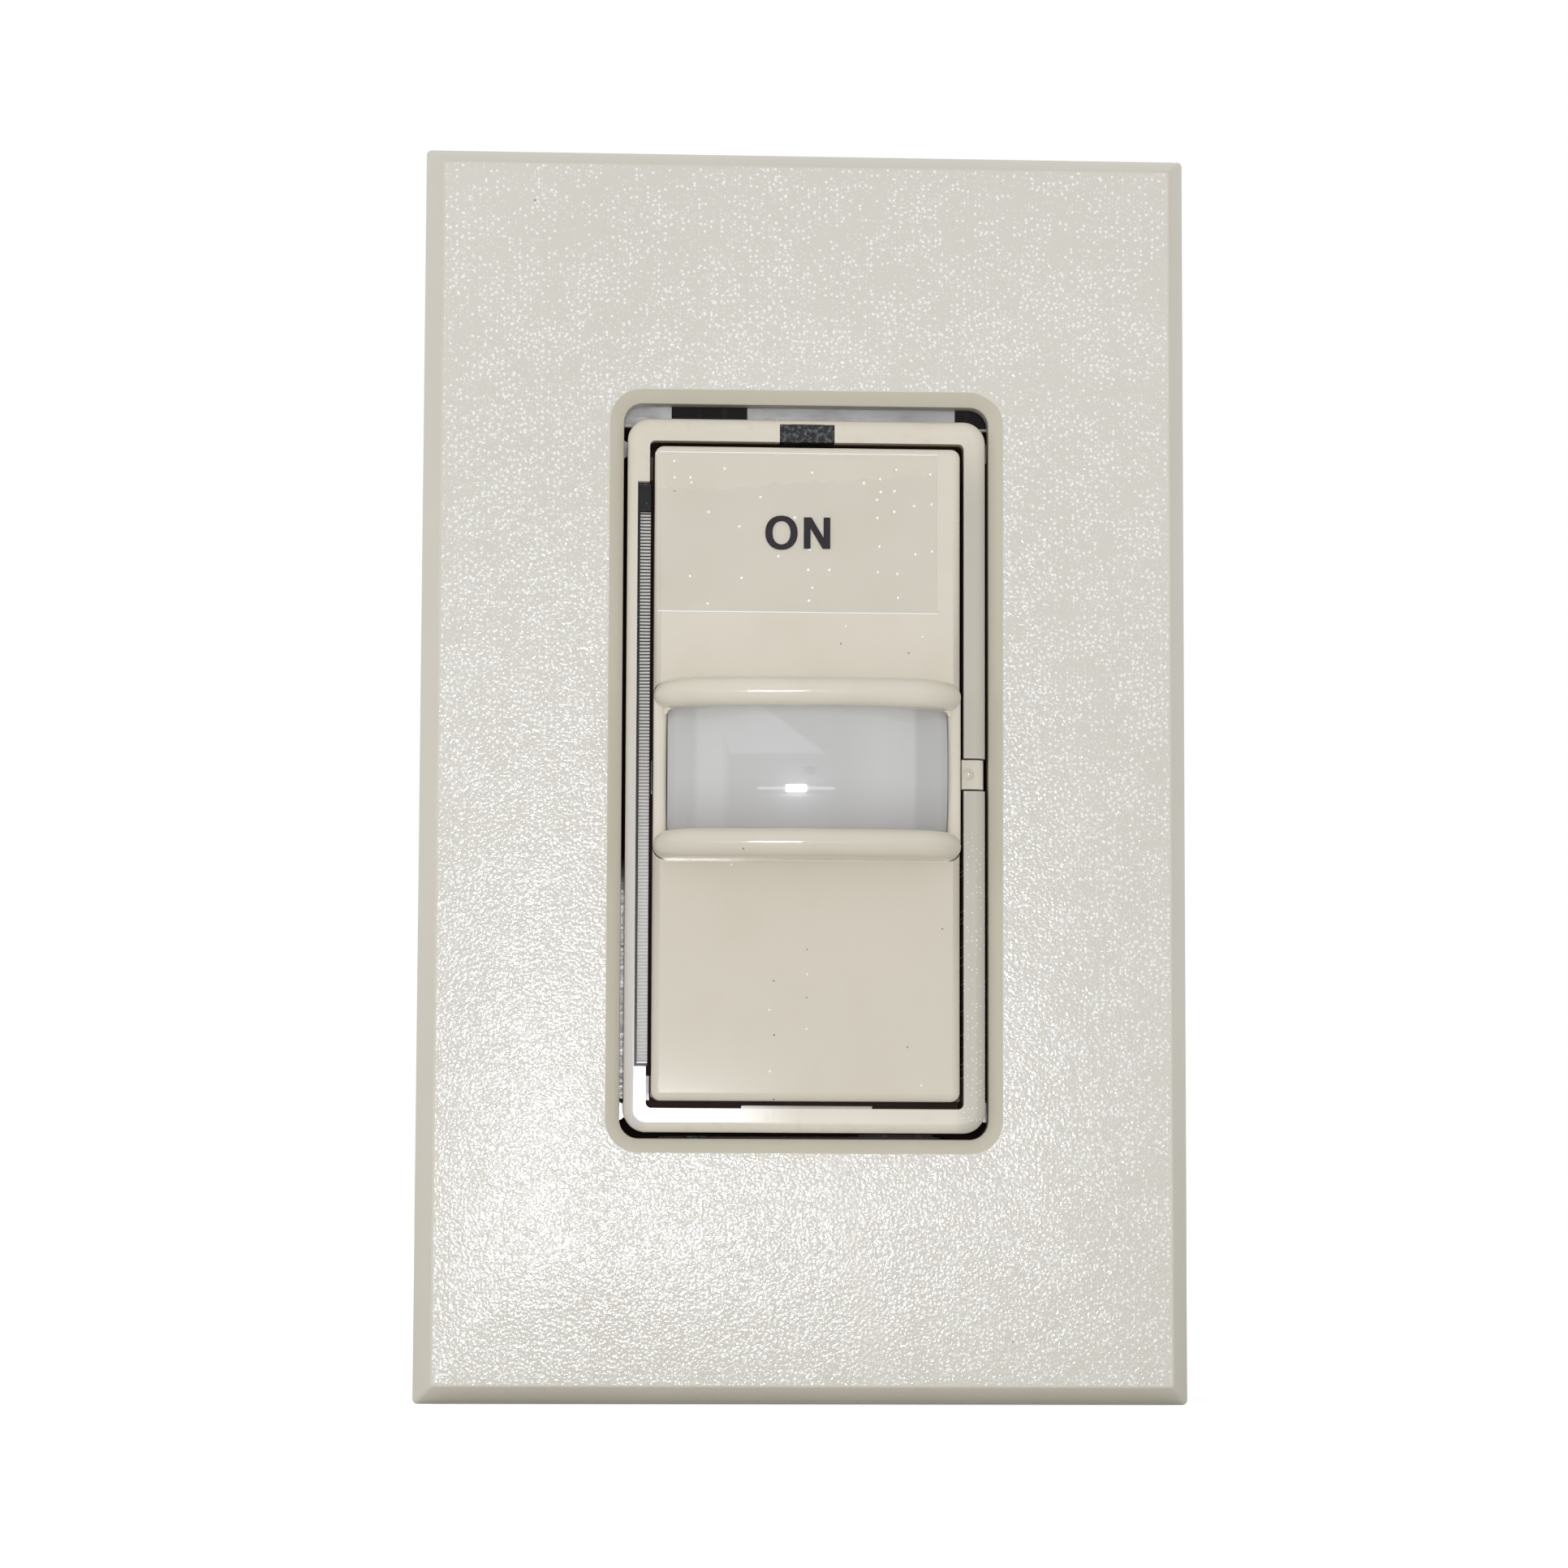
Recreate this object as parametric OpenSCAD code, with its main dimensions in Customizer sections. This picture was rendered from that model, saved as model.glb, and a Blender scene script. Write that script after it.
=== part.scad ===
// Motion sensor light switch for a single wall box: a screwless plate over a rocker switch with a
// curved sensor lens in the middle of its paddle.
// Every piece is drawn lying on its back, with x to the right, y up the wall and z out of the wall,
// and is then stood up by upright(). z = 0 is the face of the wall.

/* [Wall plate] */
// Width of the plate
plate_w = 69.85; // [68:0.05:90]
// Height of the plate
plate_h = 114.3; // [112:0.1:140]
// How far the face stands out of the wall
plate_out = 6.7; // [6.3:0.1:7.2]
// Width of the bevel round the face
plate_bevel_w = 1.65; // [0.8:0.05:2.5]
// Depth of the bevel round the face
plate_bevel_d = 3.1; // [1.5:0.1:4]
// Thickness of the face
plate_face_t = 2.3; // [1.6:0.1:2.6]
// Thickness of the side walls
plate_side_t = 1.6; // [1.2:0.1:2]
// Width of the device opening
opening_w = 33.27; // [33:0.01:34]
// Height of the device opening
opening_h = 66.8; // [66:0.1:68]
// Corner radius of the device opening
opening_r = 1.7; // [1:0.1:3]
// Width of the smooth chamfer round the opening
opening_chamfer_w = 1.26; // [0.6:0.02:1.8]
// Depth of the smooth chamfer round the opening
opening_chamfer_d = 0.7; // [0.3:0.1:1.2]
// How far the plate sits above the middle of the device, within its play
plate_rise = 0.45; // [-0.5:0.05:0.5]
// Width of the notch that a blade goes in to pry the plate off
pry_notch_w = 8; // [5:1:14]
// Depth of the pry notch
pry_notch_d = 1.2; // [0.6:0.1:2]

/* [Plate mounting frame] */
// Gap between the plate's side walls and the frame that it snaps to
subplate_side_gap = 2.325; // [2.3:0.025:5]
// Height of the frame that the plate snaps to
subplate_h = 105.6; // [104:0.2:108]
// Thickness of the frame
subplate_t = 1.8; // [1.7:0.1:2.2]
// Width of the frame's window
subplate_window_w = 46; // [40:1:50]
// Height of the frame's window
subplate_window_h = 73; // [72.5:0.5:74]
// Height of the stiffening rib round the frame
subplate_rib_d = 0.9; // [0.5:0.1:1]
// Thickness of the stiffening rib
subplate_rib_t = 1.4; // [1:0.1:2]
// Width of each snap arm of the plate
snap_arm_w = 10; // [6:0.5:14]
// Thickness of each snap arm
snap_arm_t = 1.2; // [0.8:0.1:1.4]
// How far each snap nib reaches under the frame
snap_nib_reach = 0.6; // [0.3:0.1:1]
// Thickness of each snap nib
snap_nib_t = 0.7; // [0.4:0.1:0.9]
// Distance of the snap arms above and below the middle of the plate
snap_arm_y = 30; // [20:1:40]

/* [Mounting strap] */
// Thickness of the metal strap
strap_t = 1.3; // [1:0.1:1.5]
// Width of the strap's middle
strap_w = 44; // [42:0.5:46]
// Height of the strap's middle
strap_body_h = 72; // [71.5:0.1:72.4]
// Width of the strap's ears
ear_w = 33; // [31:0.5:40]
// Height of the strap over its ears
strap_h = 105.2; // [104.5:0.1:107]
// Corner radius of the ears
ear_r = 2; // [1:0.5:4]
// Width of the strap's window
strap_window_w = 25; // [23.5:0.5:26]
// Height of the strap's window
strap_window_h = 56; // [52:0.5:57]
// Width of each latch hole
latch_hole_w = 7; // [6.4:0.1:8]
// Height of each latch hole
latch_hole_h = 5.6; // [4.5:0.1:5.8]
// Sideways distance of the latch holes from the middle
latch_x = 8.7; // [8:0.1:9.5]
// Width of the notch in the strap's upper right corner
corner_notch_w = 5; // [3:0.5:6]
// Height of the notch in the strap's upper right corner
corner_notch_h = 3.3; // [2:0.1:3.5]
// Sideways distance from the middle to the corner notch
corner_notch_x = 14; // [13:0.5:16]
// Width of the slot in the strap under the bezel's bottom rail
strap_slot_w = 26; // [20:0.5:27]
// Height of the slot in the strap under the bezel's bottom rail
strap_slot_h = 1.3; // [0.8:0.1:2]
// Distance of that slot below the bezel
strap_slot_gap = 0.2; // [0.1:0.05:0.5]

/* [Bezel] */
// Width of the bezel
bezel_w = 32.6; // [32.2:0.1:32.9]
// Height of the bezel
bezel_h = 64.8; // [64.2:0.1:65.8]
// How far the bezel stands out of the wall
bezel_out = 7.2; // [6.8:0.1:7.6]
// Thickness of the side rails
rail_side = 2; // [1.9:0.05:2.2]
// Thickness of the top and bottom rails
rail_end = 2.15; // [2.1:0.05:2.4]
// Outer corner radius of the bezel
bezel_r = 2; // [1.4:0.1:2.4]
// Radius of the bezel's front edge
bezel_edge_r = 0.9; // [0.4:0.1:1.2]
// Corner radius inside the bezel
bezel_inner_r = 0.5; // [0.3:0.1:1.5]
// Thickness of the black deck behind the paddle
deck_t = 1; // [0.8:0.1:1.1]
// Width of each of the bezel's tabs over the deck
deck_tab_w = 2.2; // [1.5:0.1:2.6]
// Thickness of each tab over the deck
deck_tab_t = 0.5; // [0.4:0.05:0.6]
// How far each tab reaches in over the deck
deck_tab_reach = 0.4; // [0.3:0.02:0.42]
// Distance of the tabs from the bezel's inner corners
deck_tab_end = 0.8; // [0.6:0.1:1.2]
// Width of the pad inside the bottom rail
rail_pad_w = 11.8; // [6:0.2:16]
// Thickness of the pad inside the bottom rail
rail_pad_t = 0.28; // [0.2:0.02:0.32]
// How far the pad lies behind the bezel's front
rail_pad_in = 0.9; // [0.5:0.1:3]
// Sideways distance of the pad from the middle
rail_pad_x = 0.2; // [-2:0.1:2]
// Thickness of each latch arm
latch_arm_t = 1.2; // [0.9:0.1:1.3]
// Width of each latch arm
latch_arm_w = 5.8; // [4:0.2:6]
// How far each latch nib reaches under the strap
latch_reach = 1; // [0.5:0.1:1.2]
// Thickness of each latch nib
latch_nib_t = 0.8; // [0.5:0.1:1]

/* [Light bar] */
// Length of the slot in the left rail
bar_slot_len = 53; // [44:1:54]
// How far the slot cuts into the rail
bar_slot_in = 1.07; // [1:0.01:1.2]
// Width of the clear bar
bar_w = 0.94; // [0.7:0.02:0.95]
// Distance of the bar's ribs out of the wall
bar_out = 5.9; // [5.2:0.1:6.4]
// Spacing of the ribs across the bar
bar_rib_pitch = 0.3; // [0.25:0.05:1]
// Height of the ribs
bar_rib_h = 0.14; // [0.08:0.02:0.2]
// Thickness of the black holder beside the bar
holder_wall = 0.25; // [0.2:0.01:0.3]
// Length of the plain block at the holder's top
holder_block = 2.6; // [1:0.2:6]
// Width of the holder's foot on the board
holder_foot_w = 3.2; // [2.8:0.1:3.4]
// Number of lamps behind the bar
led_count = 7; // [3:1:9]
// Width and length of each lamp
led_size = 1.8; // [1.2:0.1:2]
// Height of each lamp
led_h = 1.1; // [0.6:0.1:1.2]

/* [Photocell] */
// Width of the black window tile
tile_w = 5; // [3:0.1:8]
// How far the tile's notch cuts into the top rail
tile_in = 1.65; // [1.4:0.05:1.7]
// Distance of the tile's face out of the wall
tile_out = 6.9; // [6.2:0.1:7.1]
// Width of the tile's stem
tile_stem_w = 2.4; // [1.6:0.1:2.8]
// Thickness of the tile's stem
tile_stem_t = 1.1; // [0.8:0.1:1.3]
// Width of the light sensor
photocell_w = 3; // [2:0.1:4]
// Height of the light sensor's body up the wall
photocell_h = 2.4; // [1.8:0.1:2.6]
// Thickness of the light sensor
photocell_t = 2.8; // [2:0.1:3]

/* [Service button] */
// Height of the button up the rail
button_h = 2.65; // [2:0.05:3]
// Width of the slit above and below the button
button_slit = 0.16; // [0.12:0.02:0.3]
// How far the button stands past the rail towards the paddle
button_proud = 0.2; // [0.05:0.05:0.25]
// How far the button's outer face lies inside the bezel's side
button_inset = 0.15; // [0.1:0.05:0.3]
// How far the button pushes in
button_travel = 0.6; // [0.3:0.1:0.7]
// Radius of the fingertip dimple
dimple_r = 0.56; // [0.3:0.02:0.7]
// Depth of the fingertip dimple
dimple_d = 0.25; // [0.1:0.05:0.4]
// Width of the button's stem
button_stem_w = 1.1; // [0.8:0.1:1.2]

/* [Paddle] */
// Gap beside the paddle
paddle_side_gap = 0.45; // [0.4:0.05:0.6]
// Gap above and below the paddle
paddle_end_gap = 0.65; // [0.5:0.05:0.9]
// How far the paddle's face stands out of the wall
paddle_out = 8.6; // [8.4:0.1:9.2]
// Thickness of the paddle's face
paddle_face_t = 1.4; // [1:0.1:1.5]
// Thickness of the paddle's skirt
paddle_wall = 1.1; // [0.9:0.1:1.3]
// Distance of the skirt's back edge out of the wall
skirt_out = 4.6; // [4.4:0.1:5]
// Corner radius of the paddle
paddle_r = 0.8; // [0.7:0.1:1.6]
// Radius of the paddle's front edge
paddle_edge_r = 0.7; // [0.3:0.1:0.7]

/* [Sensor lens] */
// Width of the lens
lens_w = 25.2; // [22:0.2:25.4]
// Height of the lens between its lips
lens_h = 11; // [9:0.2:12]
// How far the middle of the lens stands out of the wall
lens_out = 13.6; // [12:0.1:15]
// How far the ends of the lens stand out of the wall
lens_end_out = 9.6; // [9.4:0.1:10.2]
// Thickness of the lens
lens_t = 0.9; // [0.6:0.1:1.2]
// How far the lens is tucked under each lip
lens_tuck = 0.25; // [0.1:0.05:0.5]
// Thickness of the lens's legs
lens_leg_t = 0.9; // [0.7:0.1:1.2]
// Number of flat zones inside the lens
lens_zones = 7; // [3:1:13]
// Radius of the lip's ends, seen from the front
lip_end_r = 1; // [0.5:0.1:1.1]
// Height of each lip
lip_h = 2.5; // [2.3:0.1:3]
// How far each lip stands past the lens
lip_over = 1; // [0.5:0.1:1.4]
// Radius of the lip's edges
lip_edge_r = 0.9; // [0.3:0.1:1.1]
// How far the ridges beside the lens stand out of the wall
cheek_out = 9.3; // [9:0.1:9.6]
// Radius of the ridges' edges
cheek_edge_r = 0.5; // [0.2:0.05:0.55]
// Thickness of the frame that holds the lens
retainer_t = 0.9; // [0.7:0.1:1]
// How far the lens frame reaches above and below the lens
retainer_margin = 3.6; // [3:0.1:5]
// Radius of the posts that hold the lens frame
stake_r = 0.7; // [0.5:0.1:0.8]
// Sideways distance of the posts from the middle
stake_x = 8; // [5:0.5:9]

/* [Rocker pivot] */
// Distance of the rocking axis out of the wall
pivot_out = 3.4; // [3.3:0.1:3.5]
// Radius of the pivot pins
pin_r = 0.8; // [0.6:0.05:0.85]
// Thickness of each bearing lug
lug_t = 1.8; // [1.4:0.1:2]
// Radius of the bearing lugs
lug_r = 1.3; // [1.25:0.05:1.35]
// Radius of the paddle's pivot ears
ear_pivot_r = 1.4; // [1.2:0.05:1.45]
// Angle that the paddle rocks each way, in degrees
rock_angle = 3; // [2:0.1:3]

/* [Return plungers] */
// Distance of the plungers above and below the axis
plunger_reach = 22; // [19:0.5:23]
// Radius of a plunger's stem
plunger_r = 1.45; // [1.2:0.05:1.6]
// Radius of a plunger's flange
plunger_flange_r = 2.5; // [2.3:0.1:2.9]
// Thickness of a plunger's flange
plunger_flange_t = 0.7; // [0.5:0.1:0.8]
// Length of a plunger's tail behind its flange
plunger_tail = 0.9; // [0.5:0.1:1]
// Height of the rounded tip
plunger_dome = 0.4; // [0.2:0.1:0.6]
// Radius of the guide bosses on the deck
guide_r = 3; // [2.6:0.1:3.4]
// Height of the guide bosses
guide_h = 1.1; // [0.8:0.1:1.2]
// Radius of the pads inside the paddle
pad_r = 2.2; // [1.8:0.1:2.6]
// Distance of the pads out of the wall
pad_out = 5.45; // [5.3:0.05:5.8]
// Outer radius of the return springs
spring_r = 2.4; // [2.2:0.1:2.4]
// Wire thickness of the return springs
spring_wire = 0.4; // [0.3:0.05:0.45]

/* [Boards] */
// Distance of the control board's face behind the wall
board_in = 7; // [7:0.1:7.6]
// Thickness of both boards
board_t = 1.6; // [1.2:0.2:1.6]
// Gap between the two boards
board_gap = 6.4; // [5:0.2:6.4]
// Width of each rocker switch body
switch_w = 6; // [5:0.5:7]
// Height of each rocker switch body
switch_h = 3.4; // [3.2:0.1:3.4]
// Radius of each rocker switch key
switch_key_r = 1.7; // [1.2:0.1:1.75]
// Height of each rocker switch key
switch_key_h = 0.7; // [0.4:0.1:0.7]
// Width of the service button's switch
button_switch_w = 4.4; // [3.5:0.1:4.5]
// Height of the service button's switch with its key
button_switch_h = 3.3; // [3:0.1:3.3]
// Radius of the sensor can
pir_r = 4.57; // [4:0.05:4.7]
// Height of the sensor can
pir_h = 4.2; // [3.5:0.1:4.4]
// Rim of the sensor can beyond its wall
pir_rim = 0.3; // [0.2:0.05:0.4]
// Height of the holder under the sensor can
pir_holder_h = 4.8; // [4:0.1:4.8]
// Width of the sensor's window
pir_window_w = 4.6; // [3:0.1:5]
// Height of the sensor's window
pir_window_h = 3.4; // [2.5:0.1:4]
// Depth of the sensor's window in the can
pir_window_t = 0.3; // [0.2:0.05:0.4]
// Width of the microcontroller
chip_w = 7; // [5:0.5:8]
// Thickness of the microcontroller
chip_t = 1.2; // [0.8:0.1:1.6]
// Number of pins in the board header
header_pins = 6; // [4:1:8]
// Spacing of the board header's pins
header_pin_spacing = 2.54; // [2:0.01:2.54]
// Width of the relay
relay_w = 15.4; // [13:0.2:16]
// Length of the relay up the board
relay_len = 19; // [17:0.5:20]
// Height of the relay
relay_h = 10.2; // [8:0.2:10.4]
// Radius of the capacitors
capacitor_r = 4; // [3:0.5:4]
// Height of the capacitors
capacitor_h = 10; // [7:0.5:10.4]
// Width of the transformer
transformer_w = 13; // [10:0.5:13]
// Length of the transformer
transformer_len = 12; // [10:0.5:13]
// Height of the transformer
transformer_h = 9.8; // [8:0.2:10.4]
// Radius of the varistor
varistor_r = 3.6; // [3:0.1:4]
// Thickness of the varistor
varistor_t = 3.6; // [3:0.1:4.5]
// Gap between the parts on the power board
part_gap = 0.8; // [0.5:0.1:1.5]
// Width of the fuse
fuse_w = 8.3; // [7:0.1:9]
// Thickness of the fuse
fuse_t = 4; // [3:0.1:4.5]
// Height of the fuse
fuse_h = 7; // [5:0.5:9]

/* [Rear housing] */
// How far the housing's collar reaches past the bezel on each side
housing_margin_x = 5.2; // [5:0.1:5.6]
// How far the housing's collar reaches past the bezel above and below
housing_margin_y = 2.6; // [2.6:0.1:3]
// Depth of the housing behind the wall
housing_in = 30; // [29.6:0.2:36]
// Thickness of the housing's walls
housing_wall = 1.6; // [1.4:0.1:1.7]
// Thickness of the housing's back
housing_back_t = 1.8; // [1.4:0.1:2]
// Step from the collar in to the body, on each side
housing_step = 1.2; // [1:0.1:1.3]
// Corner radius of the housing
housing_r = 3; // [2:0.2:4]
// Radius of the screw columns
column_r = 3.2; // [3:0.1:3.4]
// How far the screw columns stand inside the housing's outer faces
column_inset = 0.2; // [0.1:0.05:0.4]
// Width of the ribs that carry the power board
board_rib_w = 5; // [3:0.5:8]
// Sideways distance of the ribs from the middle
board_rib_x = 9; // [6:0.5:10]
// Width of each terminal pocket
pocket_w = 12; // [11:0.5:14]
// Depth of each terminal pocket
pocket_d = 3.6; // [3.5:0.1:4]
// Height of each terminal pocket along the housing's depth
pocket_len = 9.8; // [9.4:0.2:9.8]
// Distance of the paired terminals above and below the middle
terminal_y = 13; // [10:0.5:16]
// Radius of the wire holes in the housing's back
wire_hole_r = 1.15; // [1:0.05:1.2]
// Thickness of the terminal plates
terminal_plate_t = 1; // [0.8:0.1:1.2]
// Margin of the terminal plates inside their pockets
terminal_plate_margin = 0.6; // [0.3:0.1:1]

/* [Screws] */
// Spacing of the two screws that hold the strap to the wall box
box_screw_spacing = 83.34; // [83:0.01:84]
// Spacing of the two screws that hold the plate frame to the strap
plate_screw_spacing = 96.84; // [96:0.01:97]
// Radius of the box, plate, ground and terminal screws
screw_r = 1.75; // [1.5:0.05:1.9]
// Length of the box screws behind the strap
box_screw_len = 20; // [12:1:25]
// Radius of the box screws' neck in the strap
box_screw_neck_r = 1.5; // [1.2:0.05:1.5]
// Radius of the pan heads
pan_head_r = 3.4; // [3:0.1:3.6]
// Height of the pan heads
pan_head_h = 2; // [1.5:0.1:2]
// Radius of the plate screws' flat heads
flat_head_r = 3.2; // [2.8:0.1:3.4]
// Height of the plate screws' flat heads
flat_head_h = 1.5; // [1.2:0.1:1.6]
// Radius of the housing screws
housing_screw_r = 1.2; // [1:0.05:1.3]
// Radius of the housing screws' heads
housing_head_r = 2.2; // [1.8:0.1:2.3]
// Height of the housing screws' heads
housing_head_h = 1.5; // [1.2:0.1:1.7]
// Radius of the bezel screws
bezel_screw_r = 0.75; // [0.6:0.05:0.8]
// Length of the bezel screws in the rail
bezel_screw_len = 4; // [3:0.5:4.5]
// Radius of the bezel screws' heads
bezel_head_r = 1.7; // [1.4:0.1:1.8]
// Height of the bezel screws' heads
bezel_head_h = 1.2; // [0.8:0.1:1.4]
// Sideways distance of the bezel screws from the middle
bezel_screw_x = 9.5; // [7:0.5:10]
// Sideways distance of the ground screw from the middle
ground_x = 11; // [9:0.5:12]
// Distance of the ground screw below the middle
ground_y = 44.5; // [42:0.5:46]
// Width of the screwdriver slots
drive_slot_w = 0.9; // [0.6:0.1:1.2]
// Depth of the screwdriver slots
drive_slot_d = 0.8; // [0.5:0.1:1]

/* [Fits] */
// Clearance between pieces that move past each other
running_gap = 0.15; // [0.1:0.01:0.2]
// Clearance round pieces that drop into a seat
seat_gap = 0.05; // [0.02:0.01:0.1]
// Clearance of a screw in its thread
thread_gap = 0.02; // [0.01:0.01:0.04]
// Clearance of a screw in a through hole
screw_gap = 0.2; // [0.1:0.05:0.3]
// Clearance round a board in the housing
board_clearance = 0.3; // [0.2:0.05:0.4]
// Clearance round stems where they pass the deck and the strap
pass_gap = 0.3; // [0.2:0.05:0.4]

/* [Hidden] */
$fn = 64;
almond = [0.83, 0.80, 0.73];
plate_colour = [0.85, 0.83, 0.78];
clear_grey = [0.75, 0.76, 0.77];
black = [0.10, 0.10, 0.11];
steel = [0.66, 0.66, 0.67];
brass = [0.78, 0.65, 0.34];
board_green = [0.09, 0.32, 0.18];
ground_green = [0.15, 0.45, 0.22];
housing_grey = [0.20, 0.21, 0.22];
part_blue = [0.15, 0.25, 0.50];
SIDES = [-1, 1];
// Steps round the large arcs of the lens and its lips
arc_steps = 240;
// Length that carries a cut clear through the face that it starts or ends on
cut_past = 1;

// Bezel and deck
bezel_in_w = bezel_w - 2 * rail_side;
bezel_in_h = bezel_h - 2 * rail_end;
subplate_w = plate_w - 2 * (plate_side_t + subplate_side_gap);
deck_out = strap_t + deck_t;
latch_hole_foot = bezel_in_h / 2;
latch_arm_y = latch_hole_foot + seat_gap;
bezel_screw_y = bezel_in_h / 2 + rail_end / 2;

// Paddle
paddle_w = bezel_in_w - 2 * paddle_side_gap;
paddle_h = bezel_in_h - 2 * paddle_end_gap;
paddle_in_w = paddle_w - 2 * paddle_wall;
paddle_in_h = paddle_h - 2 * paddle_wall;
paddle_inner = paddle_out - paddle_face_t;

// Lens: part of a ball through its middle and its two ends
lens_half = lens_w / 2;
lens_sag = lens_out - lens_end_out;
lens_radius = (lens_half * lens_half + lens_sag * lens_sag) / (2 * lens_sag);
lens_axis = lens_out - lens_radius;
lens_edge_y = lens_h / 2 + lens_tuck;
retainer_top = paddle_inner - (paddle_inner - pivot_out - lug_r) / 2;
retainer_out = retainer_top - retainer_t / 2;
lens_leg_out = retainer_out + retainer_t;
zone_radius = lens_radius - lens_t;
zone_ease = 0.15;
zone_half_angle = asin((lens_half - lens_leg_t) / zone_radius);
stake_y = lens_edge_y + retainer_margin / 2;

// Pivot, from the paddle's ear inwards
ear_face_x = paddle_in_w / 2;
lug_face_x = ear_face_x - 2 * running_gap;
pin_end_x = lug_face_x - lug_t + running_gap;

// Plungers
plunger_stroke = plunger_reach * rock_angle * PI / 180;
plunger_top_out = pad_out - running_gap;
plunger_flange_front = strap_t - plunger_stroke - running_gap;
plunger_flange_back = plunger_flange_front - plunger_flange_t;
switch_face = switch_h - board_in;

// Light bar, from the left wall of its slot
bar_slot_x = -bezel_in_w / 2 - bar_slot_in;
holder_x = bar_slot_x + seat_gap / 2;
bar_x = holder_x + holder_wall;
bar_foot = led_h - board_in + seat_gap;
bar_top_y = bar_slot_len / 2 - seat_gap - holder_block;
bar_len = bar_top_y + bar_slot_len / 2 - seat_gap - holder_wall;
bar_mid_y = bar_top_y - bar_len / 2;
bar_rib_count = floor(bar_len / bar_rib_pitch);
bar_rib_margin = (bar_len - bar_rib_count * bar_rib_pitch) / 2;
holder_foot_x = bar_x + bar_w / 2;

// Photocell and service button
tile_y = bezel_in_h / 2 + tile_in / 2;
button_x1 = bezel_in_w / 2 - button_proud;
button_x2 = bezel_w / 2 - button_inset;
button_mid_x = (button_x1 + button_x2) / 2;
dimple_x = (button_x1 + button_x2 - bezel_edge_r) / 2;
button_back = deck_out + button_travel + running_gap;
button_key_face = button_switch_h - board_in;
button_stem_end = button_key_face + button_travel + running_gap;

// Housing, from the wall plane back
housing_w = bezel_w + 2 * housing_margin_x;
housing_h = bezel_h + 2 * housing_margin_y;
collar_cavity_w = housing_w - 2 * housing_wall;
collar_cavity_h = housing_h - 2 * housing_wall;
collar_in = board_in + board_t;
body_w = housing_w - 2 * housing_step;
body_h = housing_h - 2 * housing_step;
column_x = body_w / 2 - column_inset - column_r;
column_y = body_h / 2 - column_inset - column_r;
body_cavity_w = body_w - 2 * housing_wall;
body_cavity_h = body_h - 2 * housing_wall;
floor_in = housing_in - housing_back_t;
control_w = collar_cavity_w - 2 * board_clearance;
control_h = collar_cavity_h - 2 * board_clearance;
power_w = body_cavity_w - 2 * board_clearance;
power_h = body_cavity_h - 2 * board_clearance;
power_in = collar_in + board_gap;
power_back = power_in + board_t;
relay_x = -capacitor_r;
relay_edge = relay_x + relay_w / 2 + part_gap;
pocket_mid_in = floor_in - pocket_len / 2;
pocket_floor_x = body_w / 2 - pocket_d;
wire_hole_x = (pocket_floor_x + terminal_plate_t + body_w / 2) / 2 - wire_hole_r / 2;
TERMINALS = [[1, terminal_y], [1, -terminal_y], [-1, 0]];

// Stands a piece drawn on its back up against the wall
module upright() {
  rotate([90, 0, 0]) children();
}

// Box from two opposite corners
module span(from, to) {
  translate(from) cube(to - from);
}

module rounded_rect(w, h, r) {
  square([w - 2 * r, h], center = true);
  square([w, h - 2 * r], center = true);
  for (sx = SIDES, sy = SIDES) translate([sx * (w / 2 - r), sy * (h / 2 - r)]) circle(r);
}

// Upright-walled cut or block with rounded corners, between two distances from the wall
module rounded_block(w, h, r, from, to) {
  translate([0, 0, from]) linear_extrude(to - from) rounded_rect(w, h, r);
}

// Section through one edge of a slab, with its front corner rounded
module edge_section(reach, depth, r) {
  intersection() {
    square([reach, depth]);
    union() {
      square([reach - r, depth]);
      square([reach, depth - r]);
      translate([reach - r, depth - r]) circle(r);
    }
  }
}

// Slab with rounded corners whose front edge is rounded all the way round
module rounded_slab(w, h, depth, corner_r, edge_r) {
  run_x = w - 2 * corner_r;
  run_y = h - 2 * corner_r;
  translate([-run_x / 2, -run_y / 2, 0]) cube([run_x, run_y, depth]);
  for (turn = [0, 180]) rotate(turn) translate([run_x / 2, run_y / 2, 0]) rotate([90, 0, 0])
    linear_extrude(run_y) edge_section(corner_r, depth, edge_r);
  for (turn = [90, 270]) rotate(turn) translate([run_y / 2, run_x / 2, 0]) rotate([90, 0, 0])
    linear_extrude(run_x) edge_section(corner_r, depth, edge_r);
  for (flip_x = [0, 1], flip_y = [0, 1]) mirror([flip_x, 0, 0]) mirror([0, flip_y, 0])
    translate([run_x / 2, run_y / 2, 0]) rotate_extrude(angle = 90) edge_section(corner_r, depth, edge_r);
}

// Block whose four front edges are bevelled
module bevelled_block(w, h, depth, bevel_w, bevel_d) {
  shoulder = depth - bevel_d;
  intersection() {
    rotate([90, 0, 0]) linear_extrude(h, center = true)
      polygon([[-w / 2, 0], [w / 2, 0], [w / 2, shoulder], [w / 2 - bevel_w, depth],
               [bevel_w - w / 2, depth], [-w / 2, shoulder]]);
    rotate([90, 0, 90]) linear_extrude(w, center = true)
      polygon([[-h / 2, 0], [h / 2, 0], [h / 2, shoulder], [h / 2 - bevel_w, depth],
               [bevel_w - h / 2, depth], [-h / 2, shoulder]]);
  }
}

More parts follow.
